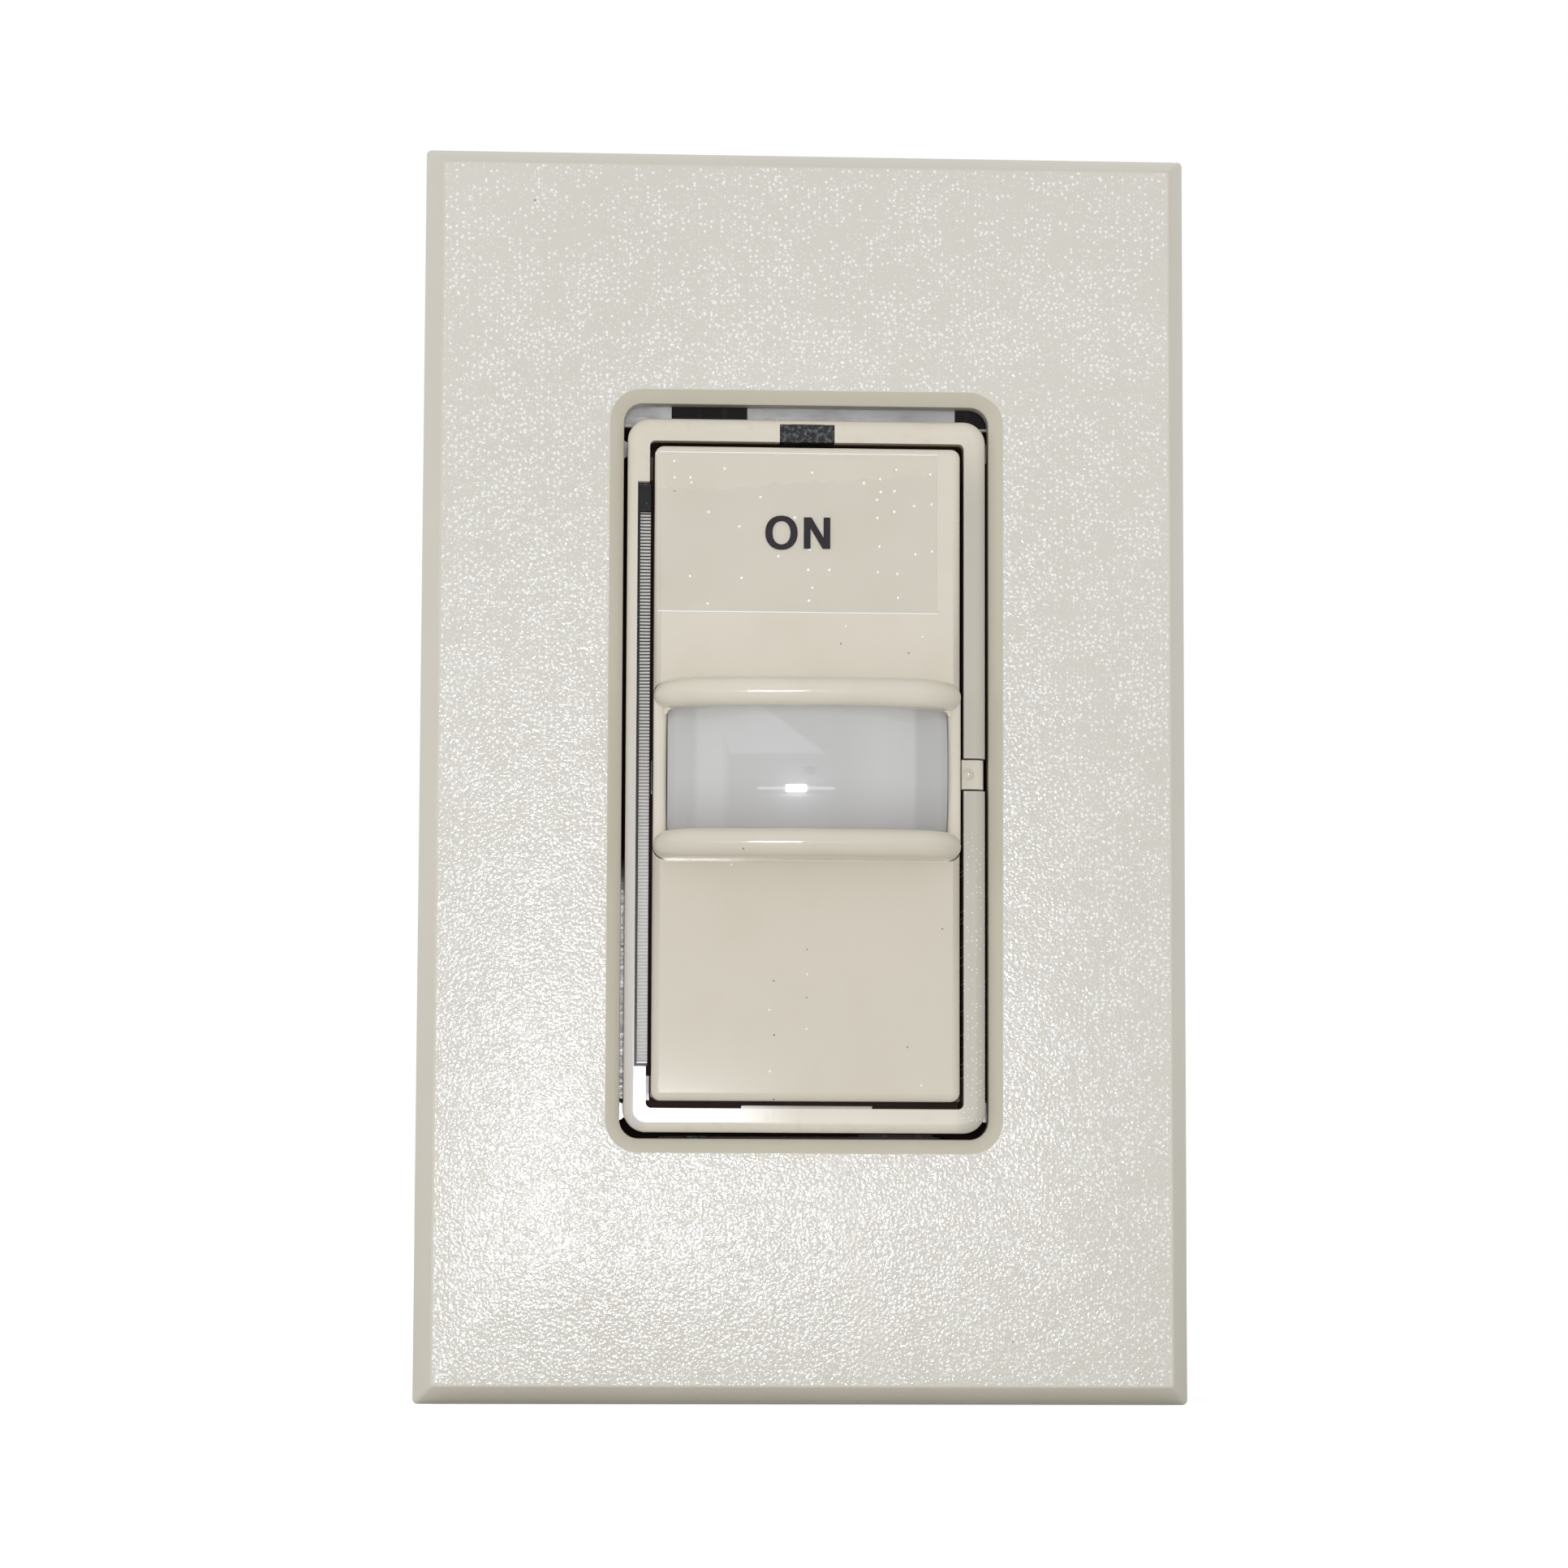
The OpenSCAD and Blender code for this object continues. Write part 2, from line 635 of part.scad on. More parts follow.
// Rounded opening that widens towards the front
module flared_cut(w, h, r, depth, flare) {
  for (sx = SIDES, sy = SIDES) translate([sx * (w / 2 - r), sy * (h / 2 - r), 0])
    cylinder(depth, r, r + flare);
  rotate([90, 0, 0]) linear_extrude(h - 2 * r, center = true)
    polygon([[-w / 2, 0], [w / 2, 0], [w / 2 + flare, depth], [-w / 2 - flare, depth]]);
  rotate([90, 0, 90]) linear_extrude(w - 2 * r, center = true)
    polygon([[-h / 2, 0], [h / 2, 0], [h / 2 + flare, depth], [-h / 2 - flare, depth]]);
}

// Slotted pan head screw that points down, with the underside of its head at zero
module pan_screw(shank_r, shank_len, head_r, head_h) {
  difference() {
    rotate_extrude() edge_section(head_r, head_h, head_h / 2);
    translate([-head_r, -drive_slot_w / 2, head_h - drive_slot_d]) cube([2 * head_r, drive_slot_w, head_h]);
  }
  translate([0, 0, -shank_len]) cylinder(shank_len, shank_r, shank_r);
}

// Both copies of a latch or notch, which lie opposite each other across the middle
module opposite_pair() {
  for (turn = [0, 180]) rotate(turn) children();
}

module wall_plate() {
  color(plate_colour) upright() translate([0, plate_rise, 0]) {
    difference() {
      bevelled_block(plate_w, plate_h, plate_out, plate_bevel_w, plate_bevel_d);
      translate([0, 0, -cut_past])
        bevelled_block(plate_w - 2 * plate_side_t, plate_h - 2 * plate_side_t,
                       plate_out - plate_face_t + cut_past, plate_bevel_w, plate_bevel_d);
      rounded_block(opening_w, opening_h, opening_r, 0, plate_out + cut_past);
      // The chamfer's slope is carried on past the face, so that its edge stays clean
      translate([0, 0, plate_out - opening_chamfer_d])
        flared_cut(opening_w, opening_h, opening_r, 2 * opening_chamfer_d, 2 * opening_chamfer_w);
      span([-pry_notch_w / 2, -plate_h, -cut_past],
           [pry_notch_w / 2, plate_side_t - plate_h / 2 + cut_past, pry_notch_d]);
    }
    for (side = SIDES, row = SIDES) translate([0, row * snap_arm_y, 0]) snap_arm(side);
  }
}

// Arm behind the plate's face with a nib that hooks under the mounting frame
module snap_arm(side) {
  inner_x = subplate_w / 2 + running_gap;
  nib_top = strap_t - seat_gap;
  mirror([side < 0 ? 1 : 0, 0, 0]) {
    span([inner_x, -snap_arm_w / 2, nib_top - snap_nib_t],
         [inner_x + snap_arm_t, snap_arm_w / 2, plate_out - plate_face_t]);
    span([inner_x - snap_nib_reach - running_gap, -snap_arm_w / 2, nib_top - snap_nib_t],
         [inner_x, snap_arm_w / 2, nib_top]);
  }
}

module plate_mounting_frame() {
  rib_in_w = subplate_w - 2 * subplate_rib_t;
  rib_in_h = subplate_h - 2 * subplate_rib_t;
  face = strap_t + subplate_t;
  color(almond) upright() difference() {
    rounded_block(subplate_w, subplate_h, ear_r, strap_t, face + subplate_rib_d);
    rounded_block(rib_in_w, rib_in_h, ear_r, face, face + subplate_rib_d + cut_past);
    rounded_block(subplate_window_w, subplate_window_h, ear_r, 0, face + cut_past);
    for (end = SIDES) {
      translate([0, end * box_screw_spacing / 2, 0])
        cylinder(face + cut_past, pan_head_r + screw_gap, pan_head_r + screw_gap);
      translate([0, end * plate_screw_spacing / 2, 0]) {
        cylinder(face + cut_past, screw_r + screw_gap, screw_r + screw_gap);
        translate([0, 0, face - flat_head_h])
          cylinder(flat_head_h, screw_r + screw_gap, flat_head_r + screw_gap);
      }
    }
  }
}

module plate_screws() {
  face = strap_t + subplate_t;
  color(steel) upright() for (end = SIDES) translate([0, end * plate_screw_spacing / 2, 0]) difference() {
    union() {
      cylinder(face, screw_r, screw_r);
      translate([0, 0, face - flat_head_h]) cylinder(flat_head_h, screw_r, flat_head_r);
    }
    translate([-flat_head_r, -drive_slot_w / 2, face - drive_slot_d])
      cube([2 * flat_head_r, drive_slot_w, drive_slot_d + cut_past]);
  }
}

module mounting_strap() {
  latch_hole_y = latch_hole_foot + latch_hole_h / 2;
  bar_cut_w = bar_w + holder_wall + 2 * pass_gap;
  color(steel) upright() difference() {
    union() {
      rounded_block(strap_w, strap_body_h, ear_r, 0, strap_t);
      rounded_block(ear_w, strap_h, ear_r, 0, strap_t);
    }
    translate([0, 0, -cut_past]) linear_extrude(strap_t + 2 * cut_past) {
      square([strap_window_w, strap_window_h], center = true);
      opposite_pair() translate([-latch_x, latch_hole_y]) square([latch_hole_w, latch_hole_h], center = true);
      translate([corner_notch_x, strap_body_h / 2 - corner_notch_h])
        square([corner_notch_w, corner_notch_h + cut_past]);
      translate([0, -bezel_h / 2 - strap_slot_gap - strap_slot_h / 2])
        square([strap_slot_w, strap_slot_h], center = true);
      translate([holder_x + (bar_w + holder_wall) / 2, 0]) square([bar_cut_w, bar_slot_len], center = true);
      translate([0, tile_y]) square([tile_stem_w + 2 * pass_gap, tile_stem_t + 2 * pass_gap], center = true);
      translate([button_mid_x, 0])
        square([button_stem_w + 2 * pass_gap, button_stem_w + 2 * pass_gap], center = true);
      opposite_pair() translate([bezel_screw_x, bezel_screw_y]) circle(bezel_screw_r + screw_gap);
      for (end = SIDES) {
        translate([0, end * box_screw_spacing / 2]) circle(screw_r + screw_gap);
        translate([0, end * plate_screw_spacing / 2]) circle(screw_r + thread_gap);
        for (side = SIDES) translate([side * column_x, end * column_y]) circle(housing_screw_r + thread_gap);
      }
      translate([ground_x, -ground_y]) circle(screw_r + thread_gap);
    }
  }
}

module box_screws() {
  color(steel) upright() for (end = SIDES) translate([0, end * box_screw_spacing / 2, 0]) {
    translate([0, 0, strap_t]) pan_screw(box_screw_neck_r, strap_t, pan_head_r, pan_head_h);
    translate([0, 0, -box_screw_len]) cylinder(box_screw_len, screw_r, screw_r);
  }
}

module ground_screw() {
  color(ground_green) upright() translate([ground_x, -ground_y, 0]) rotate([180, 0, 0])
    pan_screw(screw_r, strap_t, pan_head_r, pan_head_h);
}

module bezel_frame() {
  tab_y = bezel_in_h / 2 - deck_tab_end - deck_tab_w;
  tab_back = deck_out + seat_gap;
  color(almond) upright() {
    difference() {
      translate([0, 0, strap_t]) rounded_slab(bezel_w, bezel_h, bezel_out - strap_t, bezel_r, bezel_edge_r);
      rounded_block(bezel_in_w, bezel_in_h, bezel_inner_r, 0, bezel_out + cut_past);
      bezel_cuts();
    }
    translate([rail_pad_x, -bezel_in_h / 2, 0])
      span([-rail_pad_w / 2, -seat_gap, tab_back], [rail_pad_w / 2, rail_pad_t, bezel_out - rail_pad_in]);
    for (side = [0, 1], row = [0, 1]) mirror([side, 0, 0]) mirror([0, row, 0])
      span([bezel_in_w / 2 - deck_tab_reach, tab_y, tab_back],
           [bezel_in_w / 2 + seat_gap, tab_y + deck_tab_w, tab_back + deck_tab_t]);
    opposite_pair() bezel_latch();
  }
}

// Everything that is cut through the rails
module bezel_cuts() {
  through = bezel_out + cut_past;
  span([bar_slot_x, -bar_slot_len / 2, 0], [-bezel_in_w / 2 + cut_past, bar_slot_len / 2, through]);
  span([-tile_w / 2, bezel_in_h / 2 - cut_past, deck_out], [tile_w / 2, bezel_in_h / 2 + tile_in, through]);
  translate([0, tile_y, 0])
    rounded_block(tile_stem_w + 2 * pass_gap, tile_stem_t + 2 * pass_gap, seat_gap, 0, through);
  span([bezel_in_w / 2 - cut_past, -button_h / 2 - button_slit, deck_out],
       [bezel_w / 2 + cut_past, button_h / 2 + button_slit, through]);
  translate([button_mid_x, 0, 0])
    rounded_block(button_stem_w + 2 * running_gap, button_stem_w + 2 * running_gap, seat_gap, 0, through);
  opposite_pair() translate([bezel_screw_x, bezel_screw_y, 0])
    cylinder(strap_t + bezel_screw_len, bezel_screw_r + thread_gap, bezel_screw_r + thread_gap);
}

// Black plate that lies on the strap inside the bezel, with the paddle's bearings and the plungers' guides
module deck_plate() {
  ear_room = ear_pivot_r + running_gap;
  color(black) upright() {
    difference() {
      rounded_block(bezel_in_w - 2 * seat_gap, bezel_in_h - 2 * seat_gap, bezel_inner_r, strap_t, deck_out);
      span([bar_slot_x, -bar_slot_len / 2, 0],
           [bar_x + bar_w + seat_gap, bar_slot_len / 2, deck_out + cut_past]);
      cylinder(deck_out + cut_past, pir_r + pir_rim + pass_gap, pir_r + pir_rim + pass_gap);
      for (end = SIDES) translate([0, end * plunger_reach, 0])
        cylinder(deck_out + cut_past, plunger_r + running_gap, plunger_r + running_gap);
      for (side = [0, 1]) mirror([side, 0, 0])
        span([ear_face_x - running_gap, -ear_room, 0], [bezel_in_w / 2, ear_room, deck_out + cut_past]);
    }
    for (end = SIDES) translate([0, end * plunger_reach, 0]) plunger_guide();
    for (side = SIDES) bearing_lug(side);
  }
}

// Boss on the deck that a return plunger slides in
module plunger_guide() {
  translate([0, 0, deck_out]) difference() {
    cylinder(guide_h, guide_r, guide_r);
    translate([0, 0, -cut_past])
      cylinder(guide_h + 2 * cut_past, plunger_r + running_gap, plunger_r + running_gap);
  }
}

// Lug on the deck that one of the paddle's pivot pins turns in
module bearing_lug(side) {
  mirror([side < 0 ? 1 : 0, 0, 0]) translate([lug_face_x - lug_t, 0, 0]) difference() {
    union() {
      span([0, -lug_r, deck_out], [lug_t, lug_r, pivot_out]);
      translate([0, 0, pivot_out]) rotate([0, 90, 0]) cylinder(lug_t, lug_r, lug_r);
    }
    translate([-cut_past, 0, pivot_out]) rotate([0, 90, 0])
      cylinder(lug_t + 2 * cut_past, pin_r + running_gap, pin_r + running_gap);
  }
}

// Arm that drops through the strap and hooks behind it
module bezel_latch() {
  translate([-latch_x - latch_arm_w / 2, 0, 0]) {
    span([0, latch_arm_y, -seat_gap - latch_nib_t], [latch_arm_w, latch_arm_y + latch_arm_t, strap_t]);
    span([0, latch_arm_y - latch_reach, -seat_gap - latch_nib_t], [latch_arm_w, latch_arm_y, -seat_gap]);
  }
}

module bezel_screws() {
  color(steel) upright() opposite_pair() translate([bezel_screw_x, bezel_screw_y, 0]) rotate([180, 0, 0])
    pan_screw(bezel_screw_r, strap_t + bezel_screw_len - seat_gap, bezel_head_r, bezel_head_h);
}

// Clear blade that carries light from the lamps, with fine ribs across its front edge
module light_bar() {
  base = bar_out - bar_rib_h;
  ribs = [for (i = [0 : bar_rib_count - 1], step = [0, 0.5])
            [bar_rib_margin + (i + step) * bar_rib_pitch - bar_len / 2, step > 0 ? bar_out : base]];
  color(clear_grey) upright() translate([bar_x, bar_mid_y, 0]) rotate([90, 0, 90]) linear_extrude(bar_w)
    polygon(concat([[bar_len / 2, bar_foot], [-bar_len / 2, bar_foot], [-bar_len / 2, base]], ribs,
                   [[bar_len / 2, base]]));
}

// Black channel behind the bar: a foot on the board, a wall beside the bar and a block at each end
module light_bar_holder() {
  top = bar_slot_len / 2 - seat_gap;
  foot_top = -latch_nib_t;
  color(black) upright() {
    difference() {
      translate([holder_foot_x, 0, 0])
        span([-holder_foot_w / 2, -top, -board_in], [holder_foot_w / 2, top, foot_top]);
      span([bar_x - seat_gap / 2, bar_top_y - bar_len - seat_gap, -board_in - cut_past],
           [bar_x + bar_w + seat_gap / 2, bar_top_y + seat_gap, foot_top + cut_past]);
      translate([holder_foot_x, 0, 0])
        span([-led_size / 2 - seat_gap, bar_top_y - bar_len, -board_in - cut_past],
             [led_size / 2 + seat_gap, bar_top_y, bar_foot]);
    }
    span([holder_x, -top, foot_top], [bar_x - seat_gap / 2, top, bar_out]);
    span([holder_x, bar_top_y + seat_gap, foot_top], [bar_x + bar_w, top, bar_out + bar_rib_h]);
    span([holder_x, -top, foot_top], [bar_x + bar_w, bar_top_y - bar_len - seat_gap, bar_out]);
  }
}

module bar_leds() {
  pitch = bar_len / led_count;
  first = bar_top_y - bar_len + pitch / 2 - led_size / 2;
  color("white") upright() for (i = [0 : led_count - 1])
    translate([holder_foot_x - led_size / 2, first + i * pitch, -board_in]) cube([led_size, led_size, led_h]);
}

// Dark window with a stem that leads light down to the sensor
module photocell_window() {
  stem_foot = photocell_t - board_in + seat_gap;
  color(black) upright() {
    span([seat_gap - tile_w / 2, bezel_in_h / 2 + seat_gap, deck_out],
         [tile_w / 2 - seat_gap, bezel_in_h / 2 + tile_in - seat_gap, tile_out]);
    translate([0, tile_y, 0])
      span([-tile_stem_w / 2, -tile_stem_t / 2, stem_foot], [tile_stem_w / 2, tile_stem_t / 2, deck_out]);
  }
}

module photocell() {
  color(clear_grey) upright() translate([0, tile_y, 0])
    span([-photocell_w / 2, -photocell_h / 2, -board_in],
         [photocell_w / 2, photocell_h / 2, photocell_t - board_in]);
}

// Key that follows the rail's rounded edge, with a hollow for a fingertip or pen
module service_button() {
  dimple_sphere = (dimple_r * dimple_r + dimple_d * dimple_d) / (2 * dimple_d);
  color(almond) upright() difference() {
    union() {
      intersection() {
        translate([0, 0, strap_t])
          rounded_slab(2 * button_x2, bezel_h, bezel_out - strap_t, bezel_r, bezel_edge_r);
        span([button_x1, -button_h / 2, button_back], [bezel_w, button_h / 2, bezel_out + cut_past]);
      }
      translate([button_mid_x, 0, 0])
        span([-button_stem_w / 2, -button_stem_w / 2, button_stem_end],
             [button_stem_w / 2, button_stem_w / 2, button_back]);
    }
    translate([dimple_x, 0, bezel_out - dimple_d + dimple_sphere]) sphere(dimple_sphere);
  }
}

module button_switch() {
  key_h = button_switch_h / 5;
  color(black) upright() translate([button_mid_x, 0, -board_in]) {
    translate([-button_switch_w / 2, -button_switch_w / 2, 0])
      cube([button_switch_w, button_switch_w, button_switch_h - key_h]);
    translate([0, 0, button_switch_h - key_h]) cylinder(key_h, button_stem_w, button_stem_w);
  }
}

// Rocker with a curved lens window between two lips, which turns on two pins behind its middle
module paddle() {
  color(almond) upright() {
    difference() {
      union() {
        paddle_shell();
        lens_lips();
        lens_cheeks();
      }
      lens_tunnel();
    }
    for (end = SIDES) translate([0, end * plunger_reach, pad_out])
      cylinder(paddle_inner - pad_out, pad_r, pad_r);
    for (side = SIDES) pivot_ear(side);
    for (side = SIDES, row = SIDES) translate([side * stake_x, row * stake_y, retainer_out])
      cylinder(paddle_inner - retainer_out, stake_r, stake_r);
  }
}

module paddle_shell() {
  difference() {
    translate([0, 0, skirt_out])
      rounded_slab(paddle_w, paddle_h, paddle_out - skirt_out, paddle_r, paddle_edge_r);
    span([-paddle_in_w / 2, -paddle_in_h / 2, skirt_out - cut_past],
         [paddle_in_w / 2, paddle_in_h / 2, paddle_inner]);
  }
}

// Two brows that follow the lens's curve and end, rounded off, at the paddle's sides
module lens_lips() {
  nose = lens_radius + lip_over;
  for (row = [0, 1]) mirror([0, row, 0]) intersection() {
    translate([0, lens_h / 2, lens_axis]) rotate([-90, 0, 0]) rotate_extrude($fn = arc_steps) {
      square([nose - lip_edge_r, lip_h]);
      translate([0, lip_edge_r]) square([nose, lip_h - 2 * lip_edge_r]);
      for (edge = [lip_edge_r, lip_h - lip_edge_r]) translate([nose - lip_edge_r, edge]) circle(lip_edge_r);
    }
    translate([0, lens_h / 2 + lip_h / 2, 0])
      rounded_block(paddle_w, lip_h, lip_end_r, paddle_inner, lens_out + 2 * lip_over);
  }
}

// Rounded ridge beside each end of the lens, from lip to lip
module lens_cheeks() {
  width = paddle_w / 2 - lens_half - seat_gap;
  height = cheek_out - paddle_inner;
  for (side = [0, 1]) mirror([side, 0, 0])
    translate([paddle_w / 2 - width, lens_h / 2 + lip_edge_r, paddle_inner])
    rotate([90, 0, 0]) linear_extrude(lens_h + 2 * lip_edge_r) {
      square([width, height - cheek_edge_r]);
      translate([cheek_edge_r, 0]) square([width - 2 * cheek_edge_r, height]);
      for (edge = [cheek_edge_r, width - cheek_edge_r])
        translate([edge, height - cheek_edge_r]) circle(cheek_edge_r);
    }
}

// Room for the lens, under the lips and through the paddle's face
module lens_tunnel() {
  reach = lens_radius + seat_gap;
  intersection() {
    translate([0, 0, lens_axis]) sphere(reach, $fn = arc_steps);
    span([-lens_half - seat_gap, -lens_edge_y - seat_gap, skirt_out],
         [lens_half + seat_gap, lens_edge_y + seat_gap, lens_out + lip_over]);
  }
}

// Ear at the paddle's side with the pin that it rocks on
module pivot_ear(side) {
  mirror([side < 0 ? 1 : 0, 0, 0]) {
    span([ear_face_x, -ear_pivot_r, pivot_out], [paddle_w / 2, ear_pivot_r, skirt_out]);
    translate([ear_face_x, 0, pivot_out]) rotate([0, 90, 0]) cylinder(paddle_wall, ear_pivot_r, ear_pivot_r);
    translate([pin_end_x, 0, pivot_out]) rotate([0, 90, 0]) cylinder(ear_face_x - pin_end_x, pin_r, pin_r);
  }
}

// Domed shell with flat zones inside and a straight leg at each end
module sensor_lens() {
  zones = [for (i = [0 : lens_zones]) let (a = zone_half_angle * (2 * i / lens_zones - 1))
             [zone_radius * sin(a), lens_axis + zone_radius * cos(a)]];
  inner = lens_half - lens_leg_t;
  color(clear_grey) upright() difference() {
    intersection() {
      translate([0, 0, lens_axis]) sphere(lens_radius, $fn = arc_steps);
      span([-lens_half, -lens_edge_y, lens_leg_out], [lens_half, lens_edge_y, lens_out + cut_past]);
    }
    intersection() {
      translate([0, 0, lens_axis]) sphere(zone_radius + zone_ease, $fn = arc_steps);
      rotate([90, 0, 0]) linear_extrude(lens_h + 2 * lip_h, center = true)
        polygon(concat([[-inner, lens_leg_out - cut_past]], zones, [[inner, lens_leg_out - cut_past]]));
    }
  }
}

// Frame that is staked inside the paddle and presses on the lens's legs
module lens_retainer() {
  half_h = lens_edge_y + retainer_margin;
  color(black) upright() difference() {
    span([seat_gap - paddle_in_w / 2, -half_h, retainer_out],
         [paddle_in_w / 2 - seat_gap, half_h, lens_leg_out]);
    span([lens_leg_t - lens_half, -lens_h / 2, retainer_out - cut_past],
         [lens_half - lens_leg_t, lens_h / 2, lens_leg_out + cut_past]);
    for (side = SIDES, row = SIDES) translate([side * stake_x, row * stake_y, retainer_out - cut_past])
      cylinder(retainer_t + 2 * cut_past, stake_r + seat_gap, stake_r + seat_gap);
  }
}

module plunger() {
  stem_len = plunger_top_out - plunger_dome - plunger_flange_back + plunger_tail;
  translate([0, 0, plunger_flange_back - plunger_tail]) cylinder(stem_len, plunger_r, plunger_r);
  translate([0, 0, plunger_flange_back]) cylinder(plunger_flange_t, plunger_flange_r, plunger_flange_r);
  translate([0, 0, plunger_top_out - plunger_dome])
    cylinder(plunger_dome, plunger_r, plunger_r - plunger_dome);
}

module plunger_top() {
  color("white") upright() translate([0, plunger_reach, 0]) plunger();
}

module plunger_bottom() {
  color("white") upright() translate([0, -plunger_reach, 0]) plunger();
}

module return_spring() {
  spring_len = plunger_flange_back - switch_face;
  coil_inner_r = spring_r - spring_wire;
  translate([0, 0, switch_face]) difference() {
    cylinder(spring_len, spring_r, spring_r);
    translate([0, 0, -cut_past]) cylinder(spring_len + 2 * cut_past, coil_inner_r, coil_inner_r);
  }
}

module spring_top() {
  color(steel) upright() translate([0, plunger_reach, 0]) return_spring();
}

module spring_bottom() {
  color(steel) upright() translate([0, -plunger_reach, 0]) return_spring();
}

module rocker_switches() {
  color(black) upright() for (end = SIDES) translate([0, end * plunger_reach, -board_in]) {
    translate([-switch_w / 2, -switch_w / 2, 0]) cube([switch_w, switch_w, switch_h]);
    translate([0, 0, switch_h]) cylinder(switch_key_h, switch_key_r, switch_key_r);
  }
}

// Board outline with a notch round each of the housing's screw columns
module board_outline(w, h) {
  notch_r = column_r + board_clearance;
  difference() {
    square([w, h], center = true);
    for (flip_x = [0, 1], flip_y = [0, 1]) mirror([flip_x, 0]) mirror([0, flip_y])
      translate([column_x, column_y]) {
        circle(notch_r);
        translate([0, -notch_r]) square([w, h]);
        translate([-notch_r, 0]) square([w, h]);
      }
  }
}

module control_board() {
  color(board_green) upright() translate([0, 0, -collar_in]) linear_extrude(board_t)
    board_outline(control_w, control_h);
}

module pir_holder() {
  color(black) upright() translate([0, 0, -board_in])
    cylinder(pir_holder_h, pir_r + pir_rim, pir_r + pir_rim);
}

// Round metal can with a rim, open in front for its window
module pir_sensor() {
  base = pir_holder_h - board_in;
  color(steel) upright() difference() {
    union() {
      translate([0, 0, base]) cylinder(pir_h, pir_r, pir_r);
      translate([0, 0, base]) cylinder(pir_rim, pir_r + pir_rim, pir_r + pir_rim);
    }
    translate([0, 0, base + pir_h - pir_window_t])
      rounded_block(pir_window_w, pir_window_h, seat_gap, 0, pir_window_t + cut_past);
  }
}

module pir_window() {
  face = pir_holder_h - board_in + pir_h;
  color(black) upright() rounded_block(pir_window_w - 2 * seat_gap, pir_window_h - 2 * seat_gap, seat_gap,
                                       face - pir_window_t, face);
}

module microcontroller() {
  chip_x = plunger_flange_r + chip_w;
  chip_y = plunger_reach / 2;
  color(black) upright() translate([chip_x - chip_w / 2, chip_y - chip_w / 2, -board_in])
    cube([chip_w, chip_w, chip_t]);
}

// Row of pins in a plastic block that joins the two boards
module board_header() {
  block_len = header_pins * header_pin_spacing;
  header_y = -plunger_reach;
  color(black) upright() translate([0, header_y, 0])
    span([-block_len / 2, -header_pin_spacing / 2, -power_in], [block_len / 2, header_pin_spacing / 2, -collar_in]);
}

module power_board() {
  color(board_green) upright() translate([0, 0, -power_back]) linear_extrude(board_t)
    board_outline(power_w, power_h);
}

// Block that hangs from the back of the power board
module power_block(mid_x, mid_y, w, len, h) {
  translate([mid_x - w / 2, mid_y - len / 2, -power_back - h]) cube([w, len, h]);
}

module relay() {
  color(part_blue) upright() power_block(relay_x, terminal_y, relay_w, relay_len, relay_h);
}

module capacitors() {
  color(black) upright() for (side = SIDES)
    translate([side * 2 * capacitor_r, -terminal_y - 2 * capacitor_r, -power_back - capacitor_h])
      cylinder(capacitor_h, capacitor_r, capacitor_r);
}

module transformer() {
  color(brass) upright() power_block(0, -transformer_len / 2, transformer_w, transformer_len, transformer_h);
}

module varistor() {
  color(part_blue) upright()
    translate([relay_edge + varistor_r, terminal_y - varistor_t / 2, -power_back - varistor_r])
      rotate([-90, 0, 0]) cylinder(varistor_t, varistor_r, varistor_r);
}

module fuse() {
  fuse_y = terminal_y + relay_len / 2;
  color(black) upright() power_block(relay_edge + fuse_w / 2, fuse_y, fuse_w, fuse_t, fuse_h);
}

// Tub behind the strap: a collar that holds the control board and a narrower body with terminal pockets
module rear_housing() {
  collar_back = collar_in + housing_wall;
  color(housing_grey) upright() {
    difference() {
      union() {
        rounded_block(housing_w, housing_h, housing_r, -collar_back, 0);
        rounded_block(body_w, body_h, housing_r, -housing_in, 0);
      }
      difference() {
        union() {
          rounded_block(collar_cavity_w, collar_cavity_h, housing_r - housing_wall, -collar_in, cut_past);
          rounded_block(body_cavity_w, body_cavity_h, housing_r - housing_wall, -floor_in, cut_past);
        }
        housing_inside();
      }
      for (side = SIDES, end = SIDES) translate([side * column_x, end * column_y, -housing_in - cut_past]) {
        cylinder(housing_in + 2 * cut_past, housing_screw_r + screw_gap, housing_screw_r + screw_gap);
        cylinder(housing_back_t + cut_past, housing_head_r + screw_gap, housing_head_r + screw_gap);
      }
      for (t = TERMINALS) mirror([t[0] < 0 ? 1 : 0, 0, 0]) translate([0, t[1], 0]) terminal_cuts();
    }
  }
}

// Columns, ribs and pocket walls that stand inside the tub
module housing_inside() {
  for (side = SIDES, end = SIDES) translate([side * column_x, end * column_y, -housing_in])
    cylinder(housing_in, column_r, column_r);
  for (side = SIDES, flip_y = [0, 1]) mirror([0, flip_y, 0])
    translate([side * board_rib_x - board_rib_w / 2, 0, 0])
      span([0, power_h / 2 - housing_wall, -housing_in], [board_rib_w, body_h / 2, -power_back]);
  for (t = TERMINALS) mirror([t[0] < 0 ? 1 : 0, 0, 0]) translate([0, t[1], 0])
    span([pocket_floor_x - housing_wall, -pocket_w / 2 - housing_wall, -housing_in],
         [body_w / 2, pocket_w / 2 + housing_wall, pocket_len - floor_in + housing_wall]);
}

// Pocket in the housing's side with its screw hole and the wire hole from the back
module terminal_cuts() {
  span([pocket_floor_x, -pocket_w / 2, -floor_in], [body_w, pocket_w / 2, pocket_len - floor_in]);
  translate([pocket_floor_x - housing_wall - cut_past, 0, -pocket_mid_in]) rotate([0, 90, 0])
    cylinder(housing_wall + 2 * cut_past, screw_r + thread_gap, screw_r + thread_gap);
  translate([wire_hole_x, 0, -housing_in - cut_past])
    cylinder(housing_back_t + 2 * cut_past, wire_hole_r, wire_hole_r);
}

